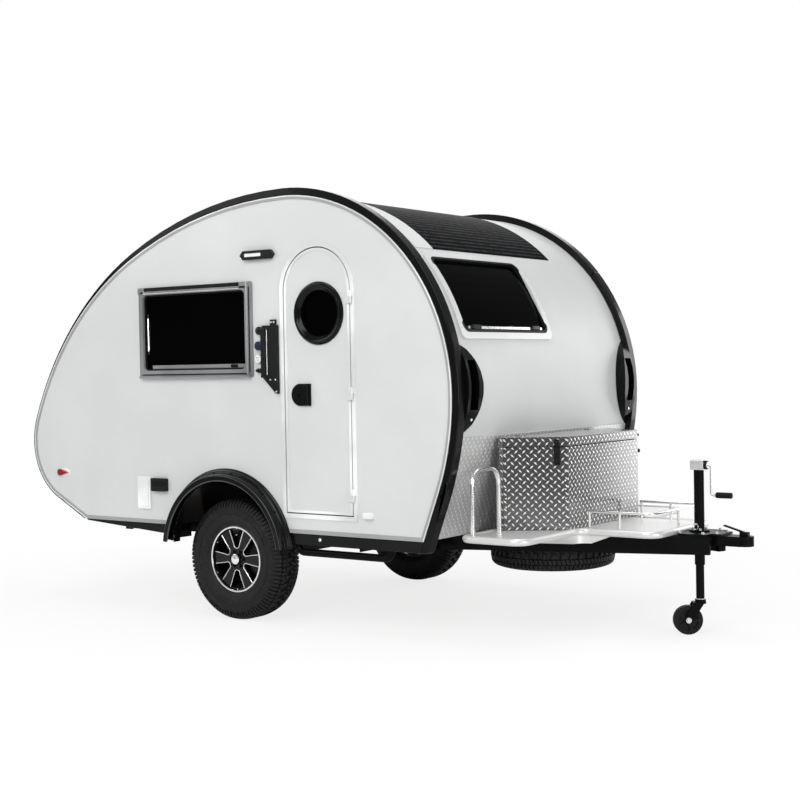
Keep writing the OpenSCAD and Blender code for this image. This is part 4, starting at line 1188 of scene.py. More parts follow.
@dataclass
class WheelTrim:
    """Bright lip and lines, blank cap, nuts, studs and drum, in millimetres from the wheel's middle."""

    hub_y: float = 876.0
    hub_z: float = 352.0
    face: float = 65.4
    cap_z: float = 81.4
    windows: int = 6
    # Profiles of radius and height, with their facets: lip, cap, and the drum seen through the windows
    lip: tuple[Flat, ...] = ((180.4, 77.0), (181.6, 79.8), (186.0, 81.2), (190.8, 80.0), (192.8, 77.0))
    lip_facets: int = 72
    cap: tuple[Flat, ...] = ((30.0, -0.4), (29.4, 2.2), (24.0, 4.6), (20.0, 4.2), (12.0, 5.6), (0.0, 6.4))
    cap_facets: int = 32
    drum: tuple[Flat, ...] = (
        (52.0, 30.0), (126.0, 28.0), (138.0, 20.0), (138.0, -38.0), (146.0, -40.0), (146.0, -48.0),
        (52.0, -48.0),
    )
    drum_facets: int = 48
    # Straight edge of a window on the face, clear of the window itself, and the round of its inner end
    edge: tuple[Flat, Flat] = ((85.6, 21.4), (165.0, 55.0))
    end_r: float = 22.0
    end_x: float = 84.0
    end_steps: int = 8
    # Bright line: radius, facets round it, height of its middle over the face
    line_r: float = 3.0
    line_sides: int = 6
    line_out: float = 0.6
    # Nuts and studs: distance from the axle; width and height
    nut_r: float = 46.0
    nut: Flat = (17.0, 13.0)
    stud_r: float = 177.5
    stud: Flat = (8.0, 4.0)

    def line(self) -> list[Flat]:
        """The bright line round one window, open to the rim.

        Returns:
            Points on the wheel's face.
        """
        (x0, y0), (x1, y1) = self.edge
        x, y = (x0 + x1) / 2, (y0 + y1) / 2
        turn = [on_arc(self.end_x, 0.0, self.end_r, a) for a in sweep(90, 270, self.end_steps)]
        return [(x1, y1), (x, y), *turn, (x, -y), (x1, -y1)]

    def build(self, paints: Paints) -> None:
        """Dresses both road wheels.

        Args:
            paints: the finishes.
        """
        for side in Side:
            place = turned(side.out, at(0, side.value * self.hub_y, self.hub_z))
            bright, dark = Shape(), Shape()
            bright.lathe(self.lip, self.lip_facets, place)
            bright.lathe([(r, self.cap_z + h) for r, h in self.cap], self.cap_facets, place)
            for k in range(self.windows):
                spoke = place @ Matrix.Rotation(2 * math.pi * k / self.windows, 4, "Z")
                window = place @ Matrix.Rotation(2 * math.pi * (k + 0.5) / self.windows, 4, "Z")
                path = [window @ (Vector((x, y, self.face + self.line_out)) * MM) for x, y in self.line()]
                bright.wire(path, self.line_r, self.line_sides)
                stud = Matrix.Translation(Vector((self.stud_r, 0, self.face)) * MM)
                bright.bolt(window @ stud, *self.stud)
                nut = Matrix.Translation(Vector((self.nut_r, 0, self.face)) * MM)
                dark.bolt(spoke @ nut, *self.nut, Head.HEX)
            bright.piece(f"wheel_lines_{side.word}", f"wheel_{side.word}", "bright_trim", paints)
            dark.lathe(self.drum, self.drum_facets, place, closed=True)
            dark.piece(f"wheel_nuts_{side.word}", f"wheel_{side.word}", "rim", paints)


@dataclass
class FenderTrim:
    """Bolts of each fender, beads along its rolled lip and ridge in a grey that paints their highlights, and
    a lining round the arch, in millimetres and degrees.
    """

    middle: Flat = (-15.0, 385.0)
    # Bolts along the fender's step: circle, distance out, lean out of the wall, first angle, size
    radius: float = 474.0
    out: float = 35.6
    lean: float = 0.33
    first: float = 18.0
    count: int = 10
    bolt: Flat = (11.0, 5.0)
    # Lining over the cut edge of the wall: radius, lap, thickness, reach in and out, first angle
    arch_r: float = 440.0
    lap: float = 0.2
    lining: float = 2.5
    lining_in: float = 52.0
    lining_out: float = 1.0
    lining_from: float = 6.0
    lining_steps: int = 56
    # Rolled lip and ridge, grey as a painted highlight: radius, distance out, thickness; and where they start
    beads: tuple[Point, ...] = ((430.5, 66.0, 5.0), (457.0, 70.2, 1.8))
    highlight_bead_from: float = 8.0
    highlight_bead_steps: int = 54

    def liner(self, place: Place) -> Shape:
        """The lining over the cut edge of the wall.

        Args:
            place: takes a point from the arch's middle to the wall.

        Returns:
            Its mesh.
        """
        shape = Shape()
        outer, inner = self.arch_r + self.lap, self.arch_r - self.lining
        low, high = -self.lining_in, self.lining_out
        corners = ((outer, low), (outer, high), (inner, high), (inner, low))
        angles = sweep(self.lining_from, 180 - self.lining_from, self.lining_steps)
        shape.skin([[place(*on_arc(0, 0, r, a), out) for r, out in corners] for a in angles])
        return shape

    def build(self, paints: Paints) -> None:
        """Bolts both fenders down, lays beads on their rolled edges in grey as painted highlights, and lines
        both arches.

        Args:
            paints: the finishes.
        """
        for side in Side:
            edges, bolts, place = Shape(), Shape(), on_wall(side, *self.middle)
            angles = sweep(self.highlight_bead_from, 180 - self.highlight_bead_from, self.highlight_bead_steps)
            # Grey beads: painted highlights along the fender's lip and ridge
            for r, out, thick in self.beads:
                edges.wire([place(*on_arc(0, 0, r, a), out) for a in angles], thick)
            for a in sweep(self.first, 180 - self.first, self.count - 1):
                away = Vector((math.cos(a), 0, math.sin(a)))
                spot = place(0, 0, self.out) + away * self.radius * MM
                bolts.bolt(turned((away * self.lean + side.out).normalized(), spot), *self.bolt)
            edges.piece(f"fender_highlight_beads_{side.word}", "trailer", "trim_black", paints, finish="fender_highlight_grey")
            self.liner(place).piece(f"arch_lining_{side.word}", "trailer", "trim_black", paints)
            bolts.piece(f"fender_bolts_{side.word}", "trailer", "jack_black", paints)


@dataclass
class SideWindowTrim:
    """Hinge strip, caps, bright lines, seals, stay and latch, in millimetres from a window's middle."""

    x: float = -243.0
    z: float = 1675.0
    strip: Bar = Bar(-396.5, 362.5, 240.0, 268.0, 8.0, 21.0, 2.0)
    # Caps at the strip's ends, and the bar along the foot of the pane
    greys: tuple[Bar, ...] = (
        Bar(-449.5, -400.5, 232.0, 269.0, 7.5, 22.0, 3.0),
        Bar(366.5, 420.5, 232.0, 269.0, 7.5, 22.0, 3.0),
        Bar(-345.0, 396.0, -216.0, -194.0, -4.0, 10.0, 3.0),
    )
    # Bright lines below the strip and at its rear end, along the frame's front side and its foot
    lines: tuple[Bar, ...] = (
        Bar(-400.5, 366.5, 231.0, 237.0, 7.5, 25.0, 1.5),
        Bar(-400.5, -396.5, 237.0, 268.0, 7.5, 23.0, 1.0),
        Bar(422.5, 431.5, -255.0, 268.0, 7.5, 26.0, 2.0),
        Bar(-438.5, 438.5, -270.0, -266.0, 27.0, 30.0),
    )
    # Seals round the sash and in the opening: outer and inner width, height and corner; low and high
    seals: tuple[tuple[Point, Point, Flat], ...] = (
        ((871.0, 504.0, 18.0), (861.0, 494.0, 14.0), (7.5, 10.0)),
        ((817.0, 450.0, 30.0), (799.0, 432.0, 22.0), (-4.0, 6.0)),
    )
    # Latch on the bar: middle, width, height and corner; low and high; bevel
    latch: tuple[float, float, float, float, float] = (318.0, -205.0, 52.0, 18.0, 8.0)
    latch_out: Flat = (9.0, 19.0)
    latch_bevel: float = 3.0
    # Stay: place along, then height and distance out of its joints, radii of the rod and of its ends
    stay_x: float = -382.5
    stay: tuple[Flat, ...] = ((-129.0, 2.0), (-107.0, 3.0), (87.0, 3.0), (113.0, 2.0))
    rod_r: float = 3.6
    end_r: float = 6.0

    def build(self, paints: Paints) -> None:
        """Dresses both side windows.

        Args:
            paints: the finishes.
        """
        for side in Side:
            place = on_wall(side, self.x, self.z)
            black, grey, bright, rubber = Shape(), Shape(), Shape(), Shape()
            black.bar(self.strip, place)
            for form in self.greys:
                grey.bar(form, place)
            for form in self.lines:
                bright.bar(form, place)
            for outer, inner, span in self.seals:
                rubber.ring(rounded(0, 0, *outer), rounded(0, 0, *inner), *span, place)
            black.slab(rounded(*self.latch), *self.latch_out, place, self.latch_bevel)
            foot, low, high, top = (place(self.stay_x, v, out) for v, out in self.stay)
            bright.wire([low, high], self.rod_r)
            black.wire([foot, low], self.end_r)
            black.wire([high, top], self.end_r)
            black.piece(f"window_strip_{side.word}", "trailer", "lamp_black", paints)
            grey.piece(f"window_caps_{side.word}", "trailer", "window_grey", paints)
            bright.piece(f"window_lines_{side.word}", "trailer", "bright_trim", paints)
            rubber.piece(f"window_seals_{side.word}", "trailer", "rubber", paints)


@dataclass
class FrontWindowTrim:
    """Seal, bar, latches and screws of the front window, in millimetres on its curved panel."""

    # The panel's bend: middle and radius; the window's middle: degrees from the top, and across
    middle: Flat = (445.0, 1295.0)
    radius: float = 1112.0
    station: float = 61.0
    y: float = -382.0
    # Opening of the frame
    w: float = 848.0
    h: float = 444.0
    # Seal: how much larger than the opening and corner, outside and inside; low and high
    seal_outer: Flat = (22.0, 45.0)
    seal_inner: Flat = (-4.0, 40.0)
    seal_out: Flat = (-4.0, 15.2)
    seal_steps: int = 8
    # Bar along the foot: how much shorter than the opening, slices, lap of a slice, height above the foot
    bar_short: float = 90.0
    bar_slices: int = 12
    bar_lap: float = 0.5
    bar_z: Flat = (8.0, 26.0)
    bar_out: Flat = (-5.0, 9.0)
    bar_bevel: float = 2.0
    # Latches: share of the width from the middle, height above the foot, width, height and corner
    latch_at: float = 0.36
    latch_z: float = 17.0
    latch: Point = (86.0, 26.0, 11.0)
    latch_out: Flat = (8.5, 21.0)
    latch_bevel: float = 5.0
    # Screws: distance beside the opening, rows, how much shorter than the opening, distances out of
    # their seat and of a point that they face, size
    screw_beside: float = 34.0
    screw_rows: int = 5
    screw_short: float = 20.0
    screw_out: float = 13.8
    screw_facing: float = 20.0
    screw: Flat = (8.0, 2.5)

    def place(self, u: float, v: float, out: float) -> Vector:
        """A place on the panel.

        Args:
            u: across from the window's middle.
            v: up along the panel.
            out: out of the panel.

        Returns:
            The place, in metres.
        """
        r = self.radius + out
        a = math.radians(self.station) - math.asin(v / r)
        return at(self.middle[0] + r * math.sin(a), self.y + u, self.middle[1] + r * math.cos(a))

    def build(self, paints: Paints) -> None:
        """Dresses the front window.

        Args:
            paints: the finishes.
        """
        seal, bright, black = Shape(), Shape(), Shape()
        outer, inner = (
            rounded(0, 0, self.w + more, self.h + more, r, self.seal_steps)
            for more, r in (self.seal_outer, self.seal_inner)
        )
        seal.ring(outer, inner, *self.seal_out, self.place)
        foot = -self.h / 2
        low, high = (foot + z for z in self.bar_z)
        long = self.w - self.bar_short
        ends = [(k / self.bar_slices - 0.5) * long for k in range(self.bar_slices + 1)]
        for a, b in zip(ends, ends[1:]):
            bright.bar(Bar(a, b + self.bar_lap, low, high, *self.bar_out, self.bar_bevel), self.place)
        for way in (-1, 1):
            plate = rounded(way * self.w * self.latch_at, foot + self.latch_z, *self.latch)
            black.slab(plate, *self.latch_out, self.place, self.latch_bevel)
            u = way * (self.w / 2 + self.screw_beside)
            for k in range(self.screw_rows):
                v = (k / (self.screw_rows - 1) - 0.5) * (self.h - self.screw_short)
                spot = self.place(u, v, self.screw_out)
                out = (self.place(u, v, self.screw_facing) - spot).normalized()
                bright.bolt(turned(out, spot), *self.screw)
        seal.piece("front_window_seal", "trailer", "rubber", paints)
        bright.piece("front_window_bar", "trailer", "bright_trim", paints)
        black.piece("front_window_latches", "trailer", "lamp_black", paints)


@dataclass
class DoorTrim:
    """Raised band on the leaf, white partly as a painted highlight along the door's outline, and dark seal in
    the gap round it, in millimetres.
    """

    x: float = 674.0
    foot: float = 619.0
    # Width of the door frame outside, and height where its arch springs
    outer_w: float = 523.0
    spring: float = 1875.5
    arch_steps: int = 24
    # Outer and inner width, low and high of the band and of the seal
    highlight_band_w: Flat = (460.0, 429.0)
    highlight_band_out: Flat = (-0.5, 3.0)
    seal_w: Flat = (472.4, 464.0)
    seal_out: Flat = (-16.0, -5.0)

    def outline(self, w: float) -> list[Flat]:
        """The arched outline of one width.

        Args:
            w: its width.

        Returns:
            Its corners, in order.
        """
        foot = self.foot + (self.outer_w - w) / 2
        over = [on_arc(self.x, self.spring, w / 2, a) for a in sweep(0, 180, self.arch_steps)]
        return [(self.x + w / 2, foot), *over, (self.x - w / 2, foot)]

    def build(self, paints: Paints) -> None:
        """Dresses the door and its opening.

        Args:
            paints: the finishes.
        """
        place = on_wall(Side.RIGHT)
        band, seal = Shape(), Shape()
        band.ring(*(self.outline(w) for w in self.highlight_band_w), *self.highlight_band_out, place)
        seal.ring(*(self.outline(w) for w in self.seal_w), *self.seal_out, place)
        band.piece("door_highlight_band", "door", "vent_white", paints, finish="edge_white_and_highlight")
        seal.piece("door_seal", "trailer", "rubber", paints)


@dataclass
class WallFittings:
    """Lens of the porch lamp, socket caps, small bolts and lamp bases on the walls, in millimetres."""

    lens: Bar = Bar(180.0, 300.0, 2081.0, 2099.0, 27.0, 31.0, 2.0)
    # Bolts of the table bracket, of a socket and of the sill
    bright_studs: tuple[Stud, ...] = (
        Stud(362.0, 1709.0, 20.0, 9.0, 4.0),
        Stud(382.0, 1709.0, 20.0, 9.0, 4.0),
        Stud(350.0, 1388.0, 20.0, 9.0, 4.0),
        Stud(388.0, 1388.0, 20.0, 9.0, 4.0),
        Stud(393.0, 1322.0, 20.0, 9.0, 4.0),
        Stud(272.0, 1656.0, 19.0, 5.0, 3.0),
        Stud(670.0, 507.0, 0.0, 16.0, 5.0),
    )
    # Pins of the socket plate
    dark_studs: tuple[Stud, ...] = (
        Stud(249.0, 1513.0, 17.2, 4.6, 2.0),
        Stud(263.0, 1513.0, 17.2, 4.6, 2.0),
        Stud(256.0, 1499.0, 17.2, 4.6, 2.0),
    )
    # Rod of the table bracket: its two ends, radius, facets
    rod: tuple[Point, Point] = ((327.0, 1416.0, 21.0), (327.0, 1668.0, 21.0))
    rod_r: float = 2.2
    rod_sides: int = 6
    # Covers of the round sockets, from the top: dome, cap, plate, knob
    dome: Turned = Turned(264.0, 1664.0, 13.8, ((23.4, -1.0), (23.4, 3.0), (17.0, 8.0), (0.0, 10.0)))
    cap: Turned = Turned(258.0, 1579.0, 13.8, ((25.4, -1.0), (25.4, 4.0), (22.0, 7.0), (0.0, 8.0)))
    plate: Turned = Turned(256.0, 1506.0, 13.8, ((23.4, -1.0), (23.4, 2.0), (21.5, 3.4), (0.0, 3.6)))
    knob: Turned = Turned(
        262.0, 1440.0, 13.8,
        ((13.2, -1.0), (13.2, 6.0), (9.0, 9.0), (9.0, 20.0), (6.0, 24.0), (0.0, 24.0)), 20,
    )
    # Flap of the inlet box: middle, width, height and corner; low and high; bevel
    flap: tuple[float, float, float, float, float] = (-548.0, 775.0, 96.0, 40.0, 8.0)
    flap_out: Flat = (23.0, 28.0)
    flap_bevel: float = 3.0
    # Oval base of each side marker: middle, half length and half height, facets; low and high; bevel
    marker: Flat = (-1405.0, 818.0)
    base: Flat = (52.0, 27.0)
    base_facets: int = 24
    base_out: Flat = (-0.5, 4.0)
    base_bevel: float = 1.5

    def build(self, paints: Paints) -> None:
        """Dresses the small fittings.

        Args:
            paints: the finishes.
        """
        place, out = on_wall(Side.RIGHT), Side.RIGHT.out
        lens, bright, blue, white, dark = Shape(), Shape(), Shape(), Shape(), Shape()
        lens.bar(self.lens, place)
        bright.wire([place(*end) for end in self.rod], self.rod_r, self.rod_sides)
        for shape, studs in ((bright, self.bright_studs), (dark, self.dark_studs)):
            for stud in studs:
                shape.bolt(turned(out, place(stud.x, stud.z, stud.out)), stud.width, stud.height)
        for shape, form in ((dark, self.dome), (blue, self.cap), (white, self.plate), (dark, self.knob)):
            shape.lathe(form.profile, form.facets, turned(out, place(form.x, form.z, form.out)))
        dark.slab(rounded(*self.flap), *self.flap_out, place, self.flap_bevel)
        oval = [(self.base[0] * math.cos(a), self.base[1] * math.sin(a)) for a in around(self.base_facets)]
        for side in Side:
            white.slab(oval, *self.base_out, on_wall(side, *self.marker), self.base_bevel)
        lens.piece("porch_lens", "trailer", "vent_white", paints)
        bright.piece("bracket_bolts", "trailer", "bright_trim", paints)
        blue.piece("socket_cap", "trailer", "fittings", paints, finish="cap_blue")
        white.piece("socket_plates", "trailer", "vent_white", paints)
        dark.piece("socket_knobs", "trailer", "lamp_black", paints)


@dataclass
class TongueTrim:
    """Grip, boss, pin, nuts, bolts and ring of the jack, and the tongue's bolts, in millimetres."""

    jack_x: float = 2454.0
    # Crank's grip: start from the jack, height; its ends and one rib: radius and distance along; ribs, pitch
    grip_x: float = 98.0
    crank_z: float = 743.0
    grip_start: tuple[Flat, ...] = ((13.4, 0.0), (15.0, 2.0))
    grip_rib: tuple[Flat, ...] = ((16.2, 4.0), (16.2, 9.0), (14.8, 10.0), (14.8, 12.0))
    grip_end: tuple[Flat, ...] = ((15.0, 86.0), (8.0, 88.0), (0.0, 88.0))
    grip_ribs: int = 9
    rib_pitch: float = 9.0
    grip_facets: int = 20
    # Boss of the crank's bearing and ring on the leg: height, profile of radius and distance, facets
    bearing_z: float = 901.0
    boss: tuple[Flat, ...] = ((16.5, 37.6), (24.0, 38.4), (24.0, 49.0), (16.5, 50.0))
    boss_facets: int = 28
    collar_z: float = 188.0
    collar: tuple[Flat, ...] = ((21.5, 0.0), (31.0, 0.2), (31.0, 3.2), (21.5, 3.5))
    collar_facets: int = 32
    # Bolts of the jack's flange: circle, height of its top, first angle and count, size
    flange_r: float = 43.0
    flange_z: float = 557.0
    flange_first: float = 60.0
    flange_bolts: int = 3
    flange_bolt: Flat = (15.0, 9.0)
    # Bolts on both sides of the head plate: place along, distance from the middle, width, height
    plate_z: float = 547.0
    plate_bolts: tuple[tuple[float, float, float, float], ...] = (
        (2394.0, 112.0, 18.0, 11.0), (2523.0, 112.0, 18.0, 11.0), (2581.0, 64.0, 16.0, 10.0),
    )
    # Pin through the jack: height, ends across, radius; its hoop: place across, height, radius, wire, facets
    pin_z: float = 590.0
    pin_y: Flat = (-24.0, -52.0)
    pin_r: float = 5.0
    hoop_y: float = -50.0
    hoop_z: float = 576.0
    hoop_r: float = 15.0
    hoop_wire: float = 2.2
    hoop_sides: int = 6
    hoop_steps: int = 16
    # Caster: height of its axle, trail, yaw in degrees, half width over the fork, size of its nuts
    wheel_z: float = 77.0
    trail: float = 68.0
    yaw: float = 36.0
    fork_half: float = 31.0
    axle_nut: Flat = (24.0, 9.0)

    def bolts(self) -> Shape:
        """The bolts of the flange and the head plate, and the jack's pin with its hoop.

        Returns:
            Their mesh.
        """
        shape, x = Shape(), self.jack_x
        for k in range(self.flange_bolts):
            a = math.radians(self.flange_first) + 2 * math.pi * k / self.flange_bolts
            spot = at(*on_arc(x, 0.0, self.flange_r, a), self.flange_z)
            shape.bolt(turned(UP, spot), *self.flange_bolt, Head.HEX)
        for along, aside, width, height in self.plate_bolts:
            for side in Side:
                spot = at(along, side.value * aside, self.plate_z)
                shape.bolt(turned(UP, spot), width, height, Head.HEX)
        shape.wire([at(x, y, self.pin_z) for y in self.pin_y], self.pin_r)
        hoop = [
            at(x + self.hoop_r * math.sin(a), self.hoop_y, self.hoop_z + self.hoop_r * math.cos(a))
            for a in around(self.hoop_steps)
        ]
        shape.wire(hoop, self.hoop_wire, self.hoop_sides, closed=True)
        return shape

    def build(self, paints: Paints) -> None:
        """Dresses the jack and the tongue.

        Args:
            paints: the finishes.
        """
        grip, ring, nuts = Shape(), Shape(), Shape()
        ribs = [(r, h + self.rib_pitch * k) for k in range(self.grip_ribs) for r, h in self.grip_rib]
        profile = [*self.grip_start, *ribs, *self.grip_end]
        grip.lathe(profile, self.grip_facets, turned(AHEAD, at(self.jack_x + self.grip_x, 0, self.crank_z)))
        grip.lathe(self.boss, self.boss_facets, turned(AHEAD, at(self.jack_x, 0, self.bearing_z)))
        ring.lathe(self.collar, self.collar_facets, turned(UP, at(self.jack_x, 0, self.collar_z)))
        yaw = math.radians(self.yaw)
        hub = at(*on_arc(self.jack_x, 0.0, -self.trail, yaw), self.wheel_z)
        along = Vector((-math.sin(yaw), math.cos(yaw), 0))
        for way in (1, -1):
            spot = hub + along * way * self.fork_half * MM
            nuts.bolt(turned(along * way, spot), *self.axle_nut, Head.HEX)
        ring.piece("leg_ring", "leg", "jack_zinc", paints)
        grip.piece("jack_grip", "trailer", "rubber", paints)
        self.bolts().piece("tongue_bolts", "trailer", "jack_zinc", paints)
        nuts.piece("caster_nuts", "caster", "jack_zinc", paints)


@dataclass
class TubTrim:
    """Keepers on the lid, the latches' pulls and rivets down the tub's slanted sides, in millimetres."""

    # A slanted side: its front corner and its back; heights of the lid's lower edge and the tub's foot
    corner: Flat = (1893.0, -409.0)
    back: Flat = (1599.0, -590.0)
    lid_z: float = 1012.0
    foot_z: float = 564.0
    # Middle of a latch, back along the side
    latch_u: float = 57.0
    # Base and hook of a keeper, from the latch's middle and the lid's lower edge
    keeper: tuple[Bar, ...] = (
        Bar(-15.0, 15.0, 2.0, 36.0, -0.5, 9.0, 2.0),
        Bar(-13.0, 9.0, 10.0, 26.0, 8.0, 38.0, 3.0),
    )
    # Pull below it: height, width, height and corner; low and high; bevel
    pull_z: float = -74.0
    pull: Point = (38.0, 22.0, 8.0)
    pull_out: Flat = (8.0, 42.0)
    pull_bevel: float = 4.0
    # Rivets: how many, distance in from both ends and from foot and lid, size
    rivets: int = 9
    rivet_in: float = 14.0
    rivet_low: float = 30.0
    rivet_high: float = 40.0
    rivet: Flat = (7.0, 2.4)

    def slanted(self, side: Side) -> Place:
        """Places on a slanted side.

        Args:
            side: of the trailer.

        Returns:
            What takes distances back along it, up and out of it to a place.
        """
        a, b = Vector(self.corner), Vector(self.back)
        along = (b - a).normalized()
        out = Vector((-along.y, along.x))

        def place(u: float, z: float, w: float) -> Vector:
            """A place on the slanted side."""
            spot = a + along * u + out * w
            return at(spot.x, -side.value * spot.y, z)

        return place

    def build(self, paints: Paints) -> None:
        """Dresses the tub and its lid.

        Args:
            paints: the finishes.
        """
        keepers, rivets, pulls = Shape(), Shape(), Shape()
        long = (Vector(self.back) - Vector(self.corner)).length
        low, high = self.foot_z + self.rivet_low, self.lid_z - self.rivet_high
        heights = [low + (high - low) * k / (self.rivets - 1) for k in range(self.rivets)]
        for side in Side:
            place = self.slanted(side)
            for x0, x1, z0, z1, *rest in self.keeper:
                form = Bar(self.latch_u + x0, self.latch_u + x1, self.lid_z + z0, self.lid_z + z1, *rest)
                keepers.bar(form, place)
            pull = rounded(self.latch_u, self.lid_z + self.pull_z, *self.pull)
            pulls.slab(pull, *self.pull_out, place, self.pull_bevel)
            for u in (self.rivet_in, long - self.rivet_in):
                for z in heights:
                    spot = place(u, z, 0.0)
                    out = (place(u, z, 1.0) - spot).normalized()
                    rivets.bolt(turned(out, spot), *self.rivet)
        pulls.piece("latch_pulls", "trailer", "rubber", paints)
        keepers.piece("lid_keepers", "lid", "rubber", paints)
        rivets.piece("tub_rivets", "trailer", "bright_trim", paints)


@dataclass
class GrabTrim:
    """Stud and web of each grab handle, in millimetres and degrees on the front panel."""

    # The panel's lower bend, and the upper one with its middle at the same height
    middle: Flat = (142.0, 1295.0)
    radius: float = 1415.0
    upper_x: float = 445.0
    upper_r: float = 1112.0
    # Station where the two bends meet
    joint: float = 90.0
    # The grip's inner edge: distance from the trailer's middle, bend, height of its middle
    inner_y: float = 798.0
    reach_r: float = 301.5
    mid_z: float = 1328.0
    # Web behind the grip: distance out, distance from the inner edge, first station, pitch, rows
    web_out: Flat = (4.0, 43.0)
    web_y: Flat = (2.0, 6.0)
    web_from: float = 80.6
    web_pitch: float = 1.42
    web_rows: int = 10
    # Stud: station, distance out and across, size
    station: float = 95.0
    out: float = 44.0
    y: float = 884.0
    stud: Flat = (13.0, 5.0)

    def on_panel(self, station: float, y: float, out: float) -> Vector:
        """A place on the front panel.

        Args:
            station: degrees from the top.
            y: across the trailer.
            out: out of the panel.

        Returns:
            The place, in metres.
        """
        a = math.radians(station)
        x, r = (self.upper_x, self.upper_r) if station < self.joint else (self.middle[0], self.radius)
        return at(x + (r + out) * math.sin(a), y, self.middle[1] + (r + out) * math.cos(a))

    def build(self, paints: Paints) -> None:
        """Fits both studs and webs.

        Args:
            paints: the finishes.
        """
        studs, web = Shape(), Shape()
        (low, high), (near, far) = self.web_out, self.web_y
        a = math.radians(self.station)
        away = Vector((math.sin(a), 0, math.cos(a)))
        for side in Side:
            rows = []
            for k in range(self.web_rows):
                station = self.web_from + self.web_pitch * k
                rise = self.on_panel(station, 0.0, 0.0).z / MM - self.mid_z
                y = self.inner_y + self.reach_r - math.sqrt(self.reach_r**2 - rise**2)
                corners = ((y + near, low), (y + far, low), (y + far, high), (y + near, high))
                rows.append([self.on_panel(station, side.value * across, out) for across, out in corners])
            web.skin(rows)
            spot = self.on_panel(self.station, side.value * self.y, self.out)
            studs.bolt(turned(away, spot), *self.stud)
        web.piece("grab_webs", "trailer", "gloss_black", paints)
        studs.piece("grab_studs", "trailer", "bright_trim", paints)


@dataclass
class EdgeBeads:
    """Bright bead along the outer edge of each wall's moulding, in millimetres and degrees."""

    apex: Flat = (445.0, 2407.0)
    # Arcs of the body from its apex: radius and turn
    front: tuple[Flat, ...] = ((1112.0, 90.0), (1415.0, 21.0))
    rear: tuple[Flat, ...] = ((2714.0, 27.0), (1806.0, 42.0), (386.0, 84.0))
    facet: float = 3.0
    foot_z: float = 537.0
    # Distances of the bead's edges in from the outline, and of its faces out of the wall
    insets: Flat = (0.8, 7.5)
    outs: Flat = (2.6, 4.0)

    def path(self, arcs: Sequence[Flat], way: int, inside: float) -> list[Flat]:
        """Points along one run of arcs, from the apex to the foot.

        Args:
            arcs: radius and turn of each arc.
            way: 1 for the front, -1 for the rear.
            inside: distance in from the body's outline.

        Returns:
            Places along and up.
        """
        points: list[Flat] = []
        x, z = self.apex
        start = last = 0.0
        for r, turn in arcs:
            a = math.radians(start)
            x, z = x + way * (last - r) * math.sin(a), z + (last - r) * math.cos(a)
            for a in sweep(start, start + turn, round(turn / self.facet)):
                points.append((x + way * (r - inside) * math.sin(a), z + (r - inside) * math.cos(a)))
            start, last = start + turn, r
        end_x, end_z = points[-1]
        run = (end_z - self.foot_z) / math.tan(math.radians(start))
        return [*points, (end_x + way * run, self.foot_z)]

    def build(self, paints: Paints) -> None:
        """Lays both beads.

        Args:
            paints: the finishes.
        """
        (near, far), (low, high) = self.insets, self.outs
        for side in Side:
            shape, place = Shape(), on_wall(side)
            for arcs, way in ((self.front, 1), (self.rear, -1)):
                rows = []
                for a, b in zip(self.path(arcs, way, near), self.path(arcs, way, far)):
                    rows.append([place(*a, low), place(*a, high), place(*b, high), place(*b, low)])
                shape.skin(rows)
            shape.piece(f"edge_bead_{side.word}", "trailer", "bright_trim", paints, finish="edge_white_and_highlight")


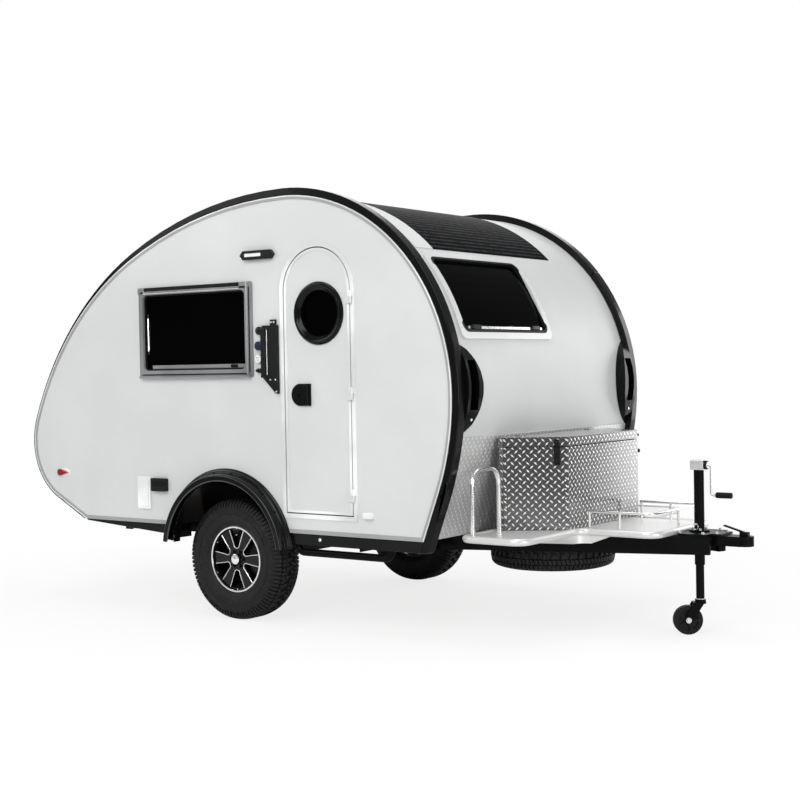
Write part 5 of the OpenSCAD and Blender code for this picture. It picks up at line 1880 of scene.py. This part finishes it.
@dataclass
class Studio:
    """Pale floor, soft light and the camera, in metres and degrees."""

    eye: Point = (5.1195, -7.078, 1.450)
    yaw: float = 36.0
    pitch: float = 1.34
    roll: float = -0.99
    # Lens and sensor in millimetres, and how far the camera sees
    lens: float = 64.53
    sensor: float = 36.0
    sight: float = 200.0
    # Floor: radius, facets, colours; how white it is to the camera, and where that fades to white
    floor_r: float = 7.5
    floor_facets: int = 96
    floor_tones: tuple[Colour, Colour] = ((0.86, 0.86, 0.86), (0.9, 0.9, 0.9))
    clear: float = 0.8
    fade_from: float = 2.6
    fade_to: float = 4.6
    # Light from all round: strength and tint on the object, and as the camera sees it
    ambient: tuple[float, Colour] = (0.34, (0.98, 0.99, 1.0))
    backdrop: tuple[float, Colour] = (1.0, (1.0, 1.0, 1.0))
    # Lamps: place, target, width, power
    softboxes: tuple[tuple[Point, Point, float, float], ...] = (
        ((2.0, -8.0, 6.0), (0.0, -0.8, 1.0), 5.0, 420.0),
        ((3.1, 8.55, 2.2), (1.2, 0.0, 0.8), 5.0, 275.0),
        ((8.0, -2.2, 2.0), (1.2, 0.0, 0.9), 2.6, 190.0),
        ((-6.5, -5.0, 5.0), (-0.8, 0.0, 1.2), 5.0, 150.0),
        ((0.5, 0.0, 8.0), (0.0, 0.0, 0.0), 6.0, 260.0),
        ((-4.0, 8.0, 5.0), (0.0, 0.0, 1.0), 6.0, 180.0),
    )

    def camera(self) -> None:
        """Puts the camera at the photograph's place and angle."""
        yaw, pitch, roll = (math.radians(a) for a in (self.yaw, self.pitch, self.roll))
        ahead = Vector((-math.sin(yaw) * math.cos(pitch), math.cos(yaw) * math.cos(pitch), -math.sin(pitch)))
        right = Vector((math.cos(yaw), math.sin(yaw), 0.0))
        up = right.cross(ahead)
        across = right * math.cos(roll) + up * math.sin(roll)
        above = up * math.cos(roll) - right * math.sin(roll)
        data = bpy.data.cameras.new("camera")
        data.lens = self.lens
        data.sensor_width = self.sensor
        data.clip_end = self.sight
        camera = bpy.data.objects.new("camera", data)
        turn = Matrix((across, above, -ahead)).transposed().to_4x4()
        camera.matrix_world = Matrix.Translation(Vector(self.eye)) @ turn
        bpy.context.scene.collection.objects.link(camera)
        bpy.context.scene.camera = camera

    def floor(self) -> None:
        """Lays a round pale floor that fades into the white background."""
        g = Graph("studio_floor")
        seen = Value(g, g.node("ShaderNodeLightPath").outputs["Is Camera Ray"])
        away = (g.x * g.x + g.y * g.y).root()
        fade = self.clear + (1 - self.clear) * away.step(self.fade_from, self.fade_to)
        tone = g.mix(g.noise(Noise.FLOOR), *self.floor_tones)
        pale = g.node("ShaderNodeBsdfDiffuse", None, {"Color": tone})
        white = g.node("ShaderNodeEmission", None, {"Color": (1.0, 1.0, 1.0, 1.0), "Strength": 1.0})
        shades = {0: seen * fade, 1: pale.outputs[0], 2: white.outputs[0]}
        mesh = bpy.data.meshes.new("floor")
        rim = [(*on_arc(0.0, 0.0, self.floor_r, a), 0.0) for a in around(self.floor_facets)]
        mesh.from_pydata(rim, [], [tuple(range(self.floor_facets))])
        mesh.materials.append(g.ended(g.node("ShaderNodeMixShader", None, shades)))
        plane = bpy.data.objects.new("floor", mesh)
        bpy.context.scene.collection.objects.link(plane)

    def world(self) -> None:
        """Lights the scene from all round: white where it is seen, dim elsewhere."""
        world = bpy.data.worlds.new("studio")
        bpy.context.scene.world = world
        world.use_nodes = True
        tree = world.node_tree
        tree.nodes.clear()
        path = tree.nodes.new("ShaderNodeLightPath")
        mix = tree.nodes.new("ShaderNodeMixShader")
        tree.links.new(path.outputs["Is Camera Ray"], mix.inputs[0])
        for k, (strength, tint) in enumerate((self.ambient, self.backdrop)):
            shade = tree.nodes.new("ShaderNodeBackground")
            shade.inputs["Color"].default_value = (*tint, 1.0)
            shade.inputs["Strength"].default_value = strength
            tree.links.new(shade.outputs[0], mix.inputs[1 + k])
        out = tree.nodes.new("ShaderNodeOutputWorld")
        tree.links.new(mix.outputs[0], out.inputs["Surface"])

    def lamps(self) -> None:
        """Hangs the soft lamps."""
        for k, (place, target, width, power) in enumerate(self.softboxes):
            data = bpy.data.lights.new(f"softbox_{k}", "AREA")
            data.shape = "SQUARE"
            data.size = width
            data.energy = power
            lamp = bpy.data.objects.new(f"softbox_{k}", data)
            lamp.location = place
            lamp.rotation_euler = (Vector(target) - Vector(place)).to_track_quat("-Z", "Y").to_euler()
            bpy.context.scene.collection.objects.link(lamp)

    def build(self) -> None:
        """Sets up the whole studio."""
        bpy.context.scene.view_settings.view_transform = "Standard"
        self.camera()
        self.floor()
        self.world()
        self.lamps()


def main() -> None:
    """Builds the studio, dresses the CAD nodes and adds the finer pieces."""
    logging.basicConfig(level=logging.INFO, format="%(name)s %(message)s")
    paints = Paints(FINISHES)
    Studio().build()
    paints.dress_frame()
    SoftEdges().build()
    for fitted in (
        RoadTyres(), WheelTrim(), FenderTrim(), SideWindowTrim(), FrontWindowTrim(), DoorTrim(),
        WallFittings(), TongueTrim(), TubTrim(), GrabTrim(), EdgeBeads(),
    ):
        fitted.build(paints)


if __name__ == "__main__":
    main()
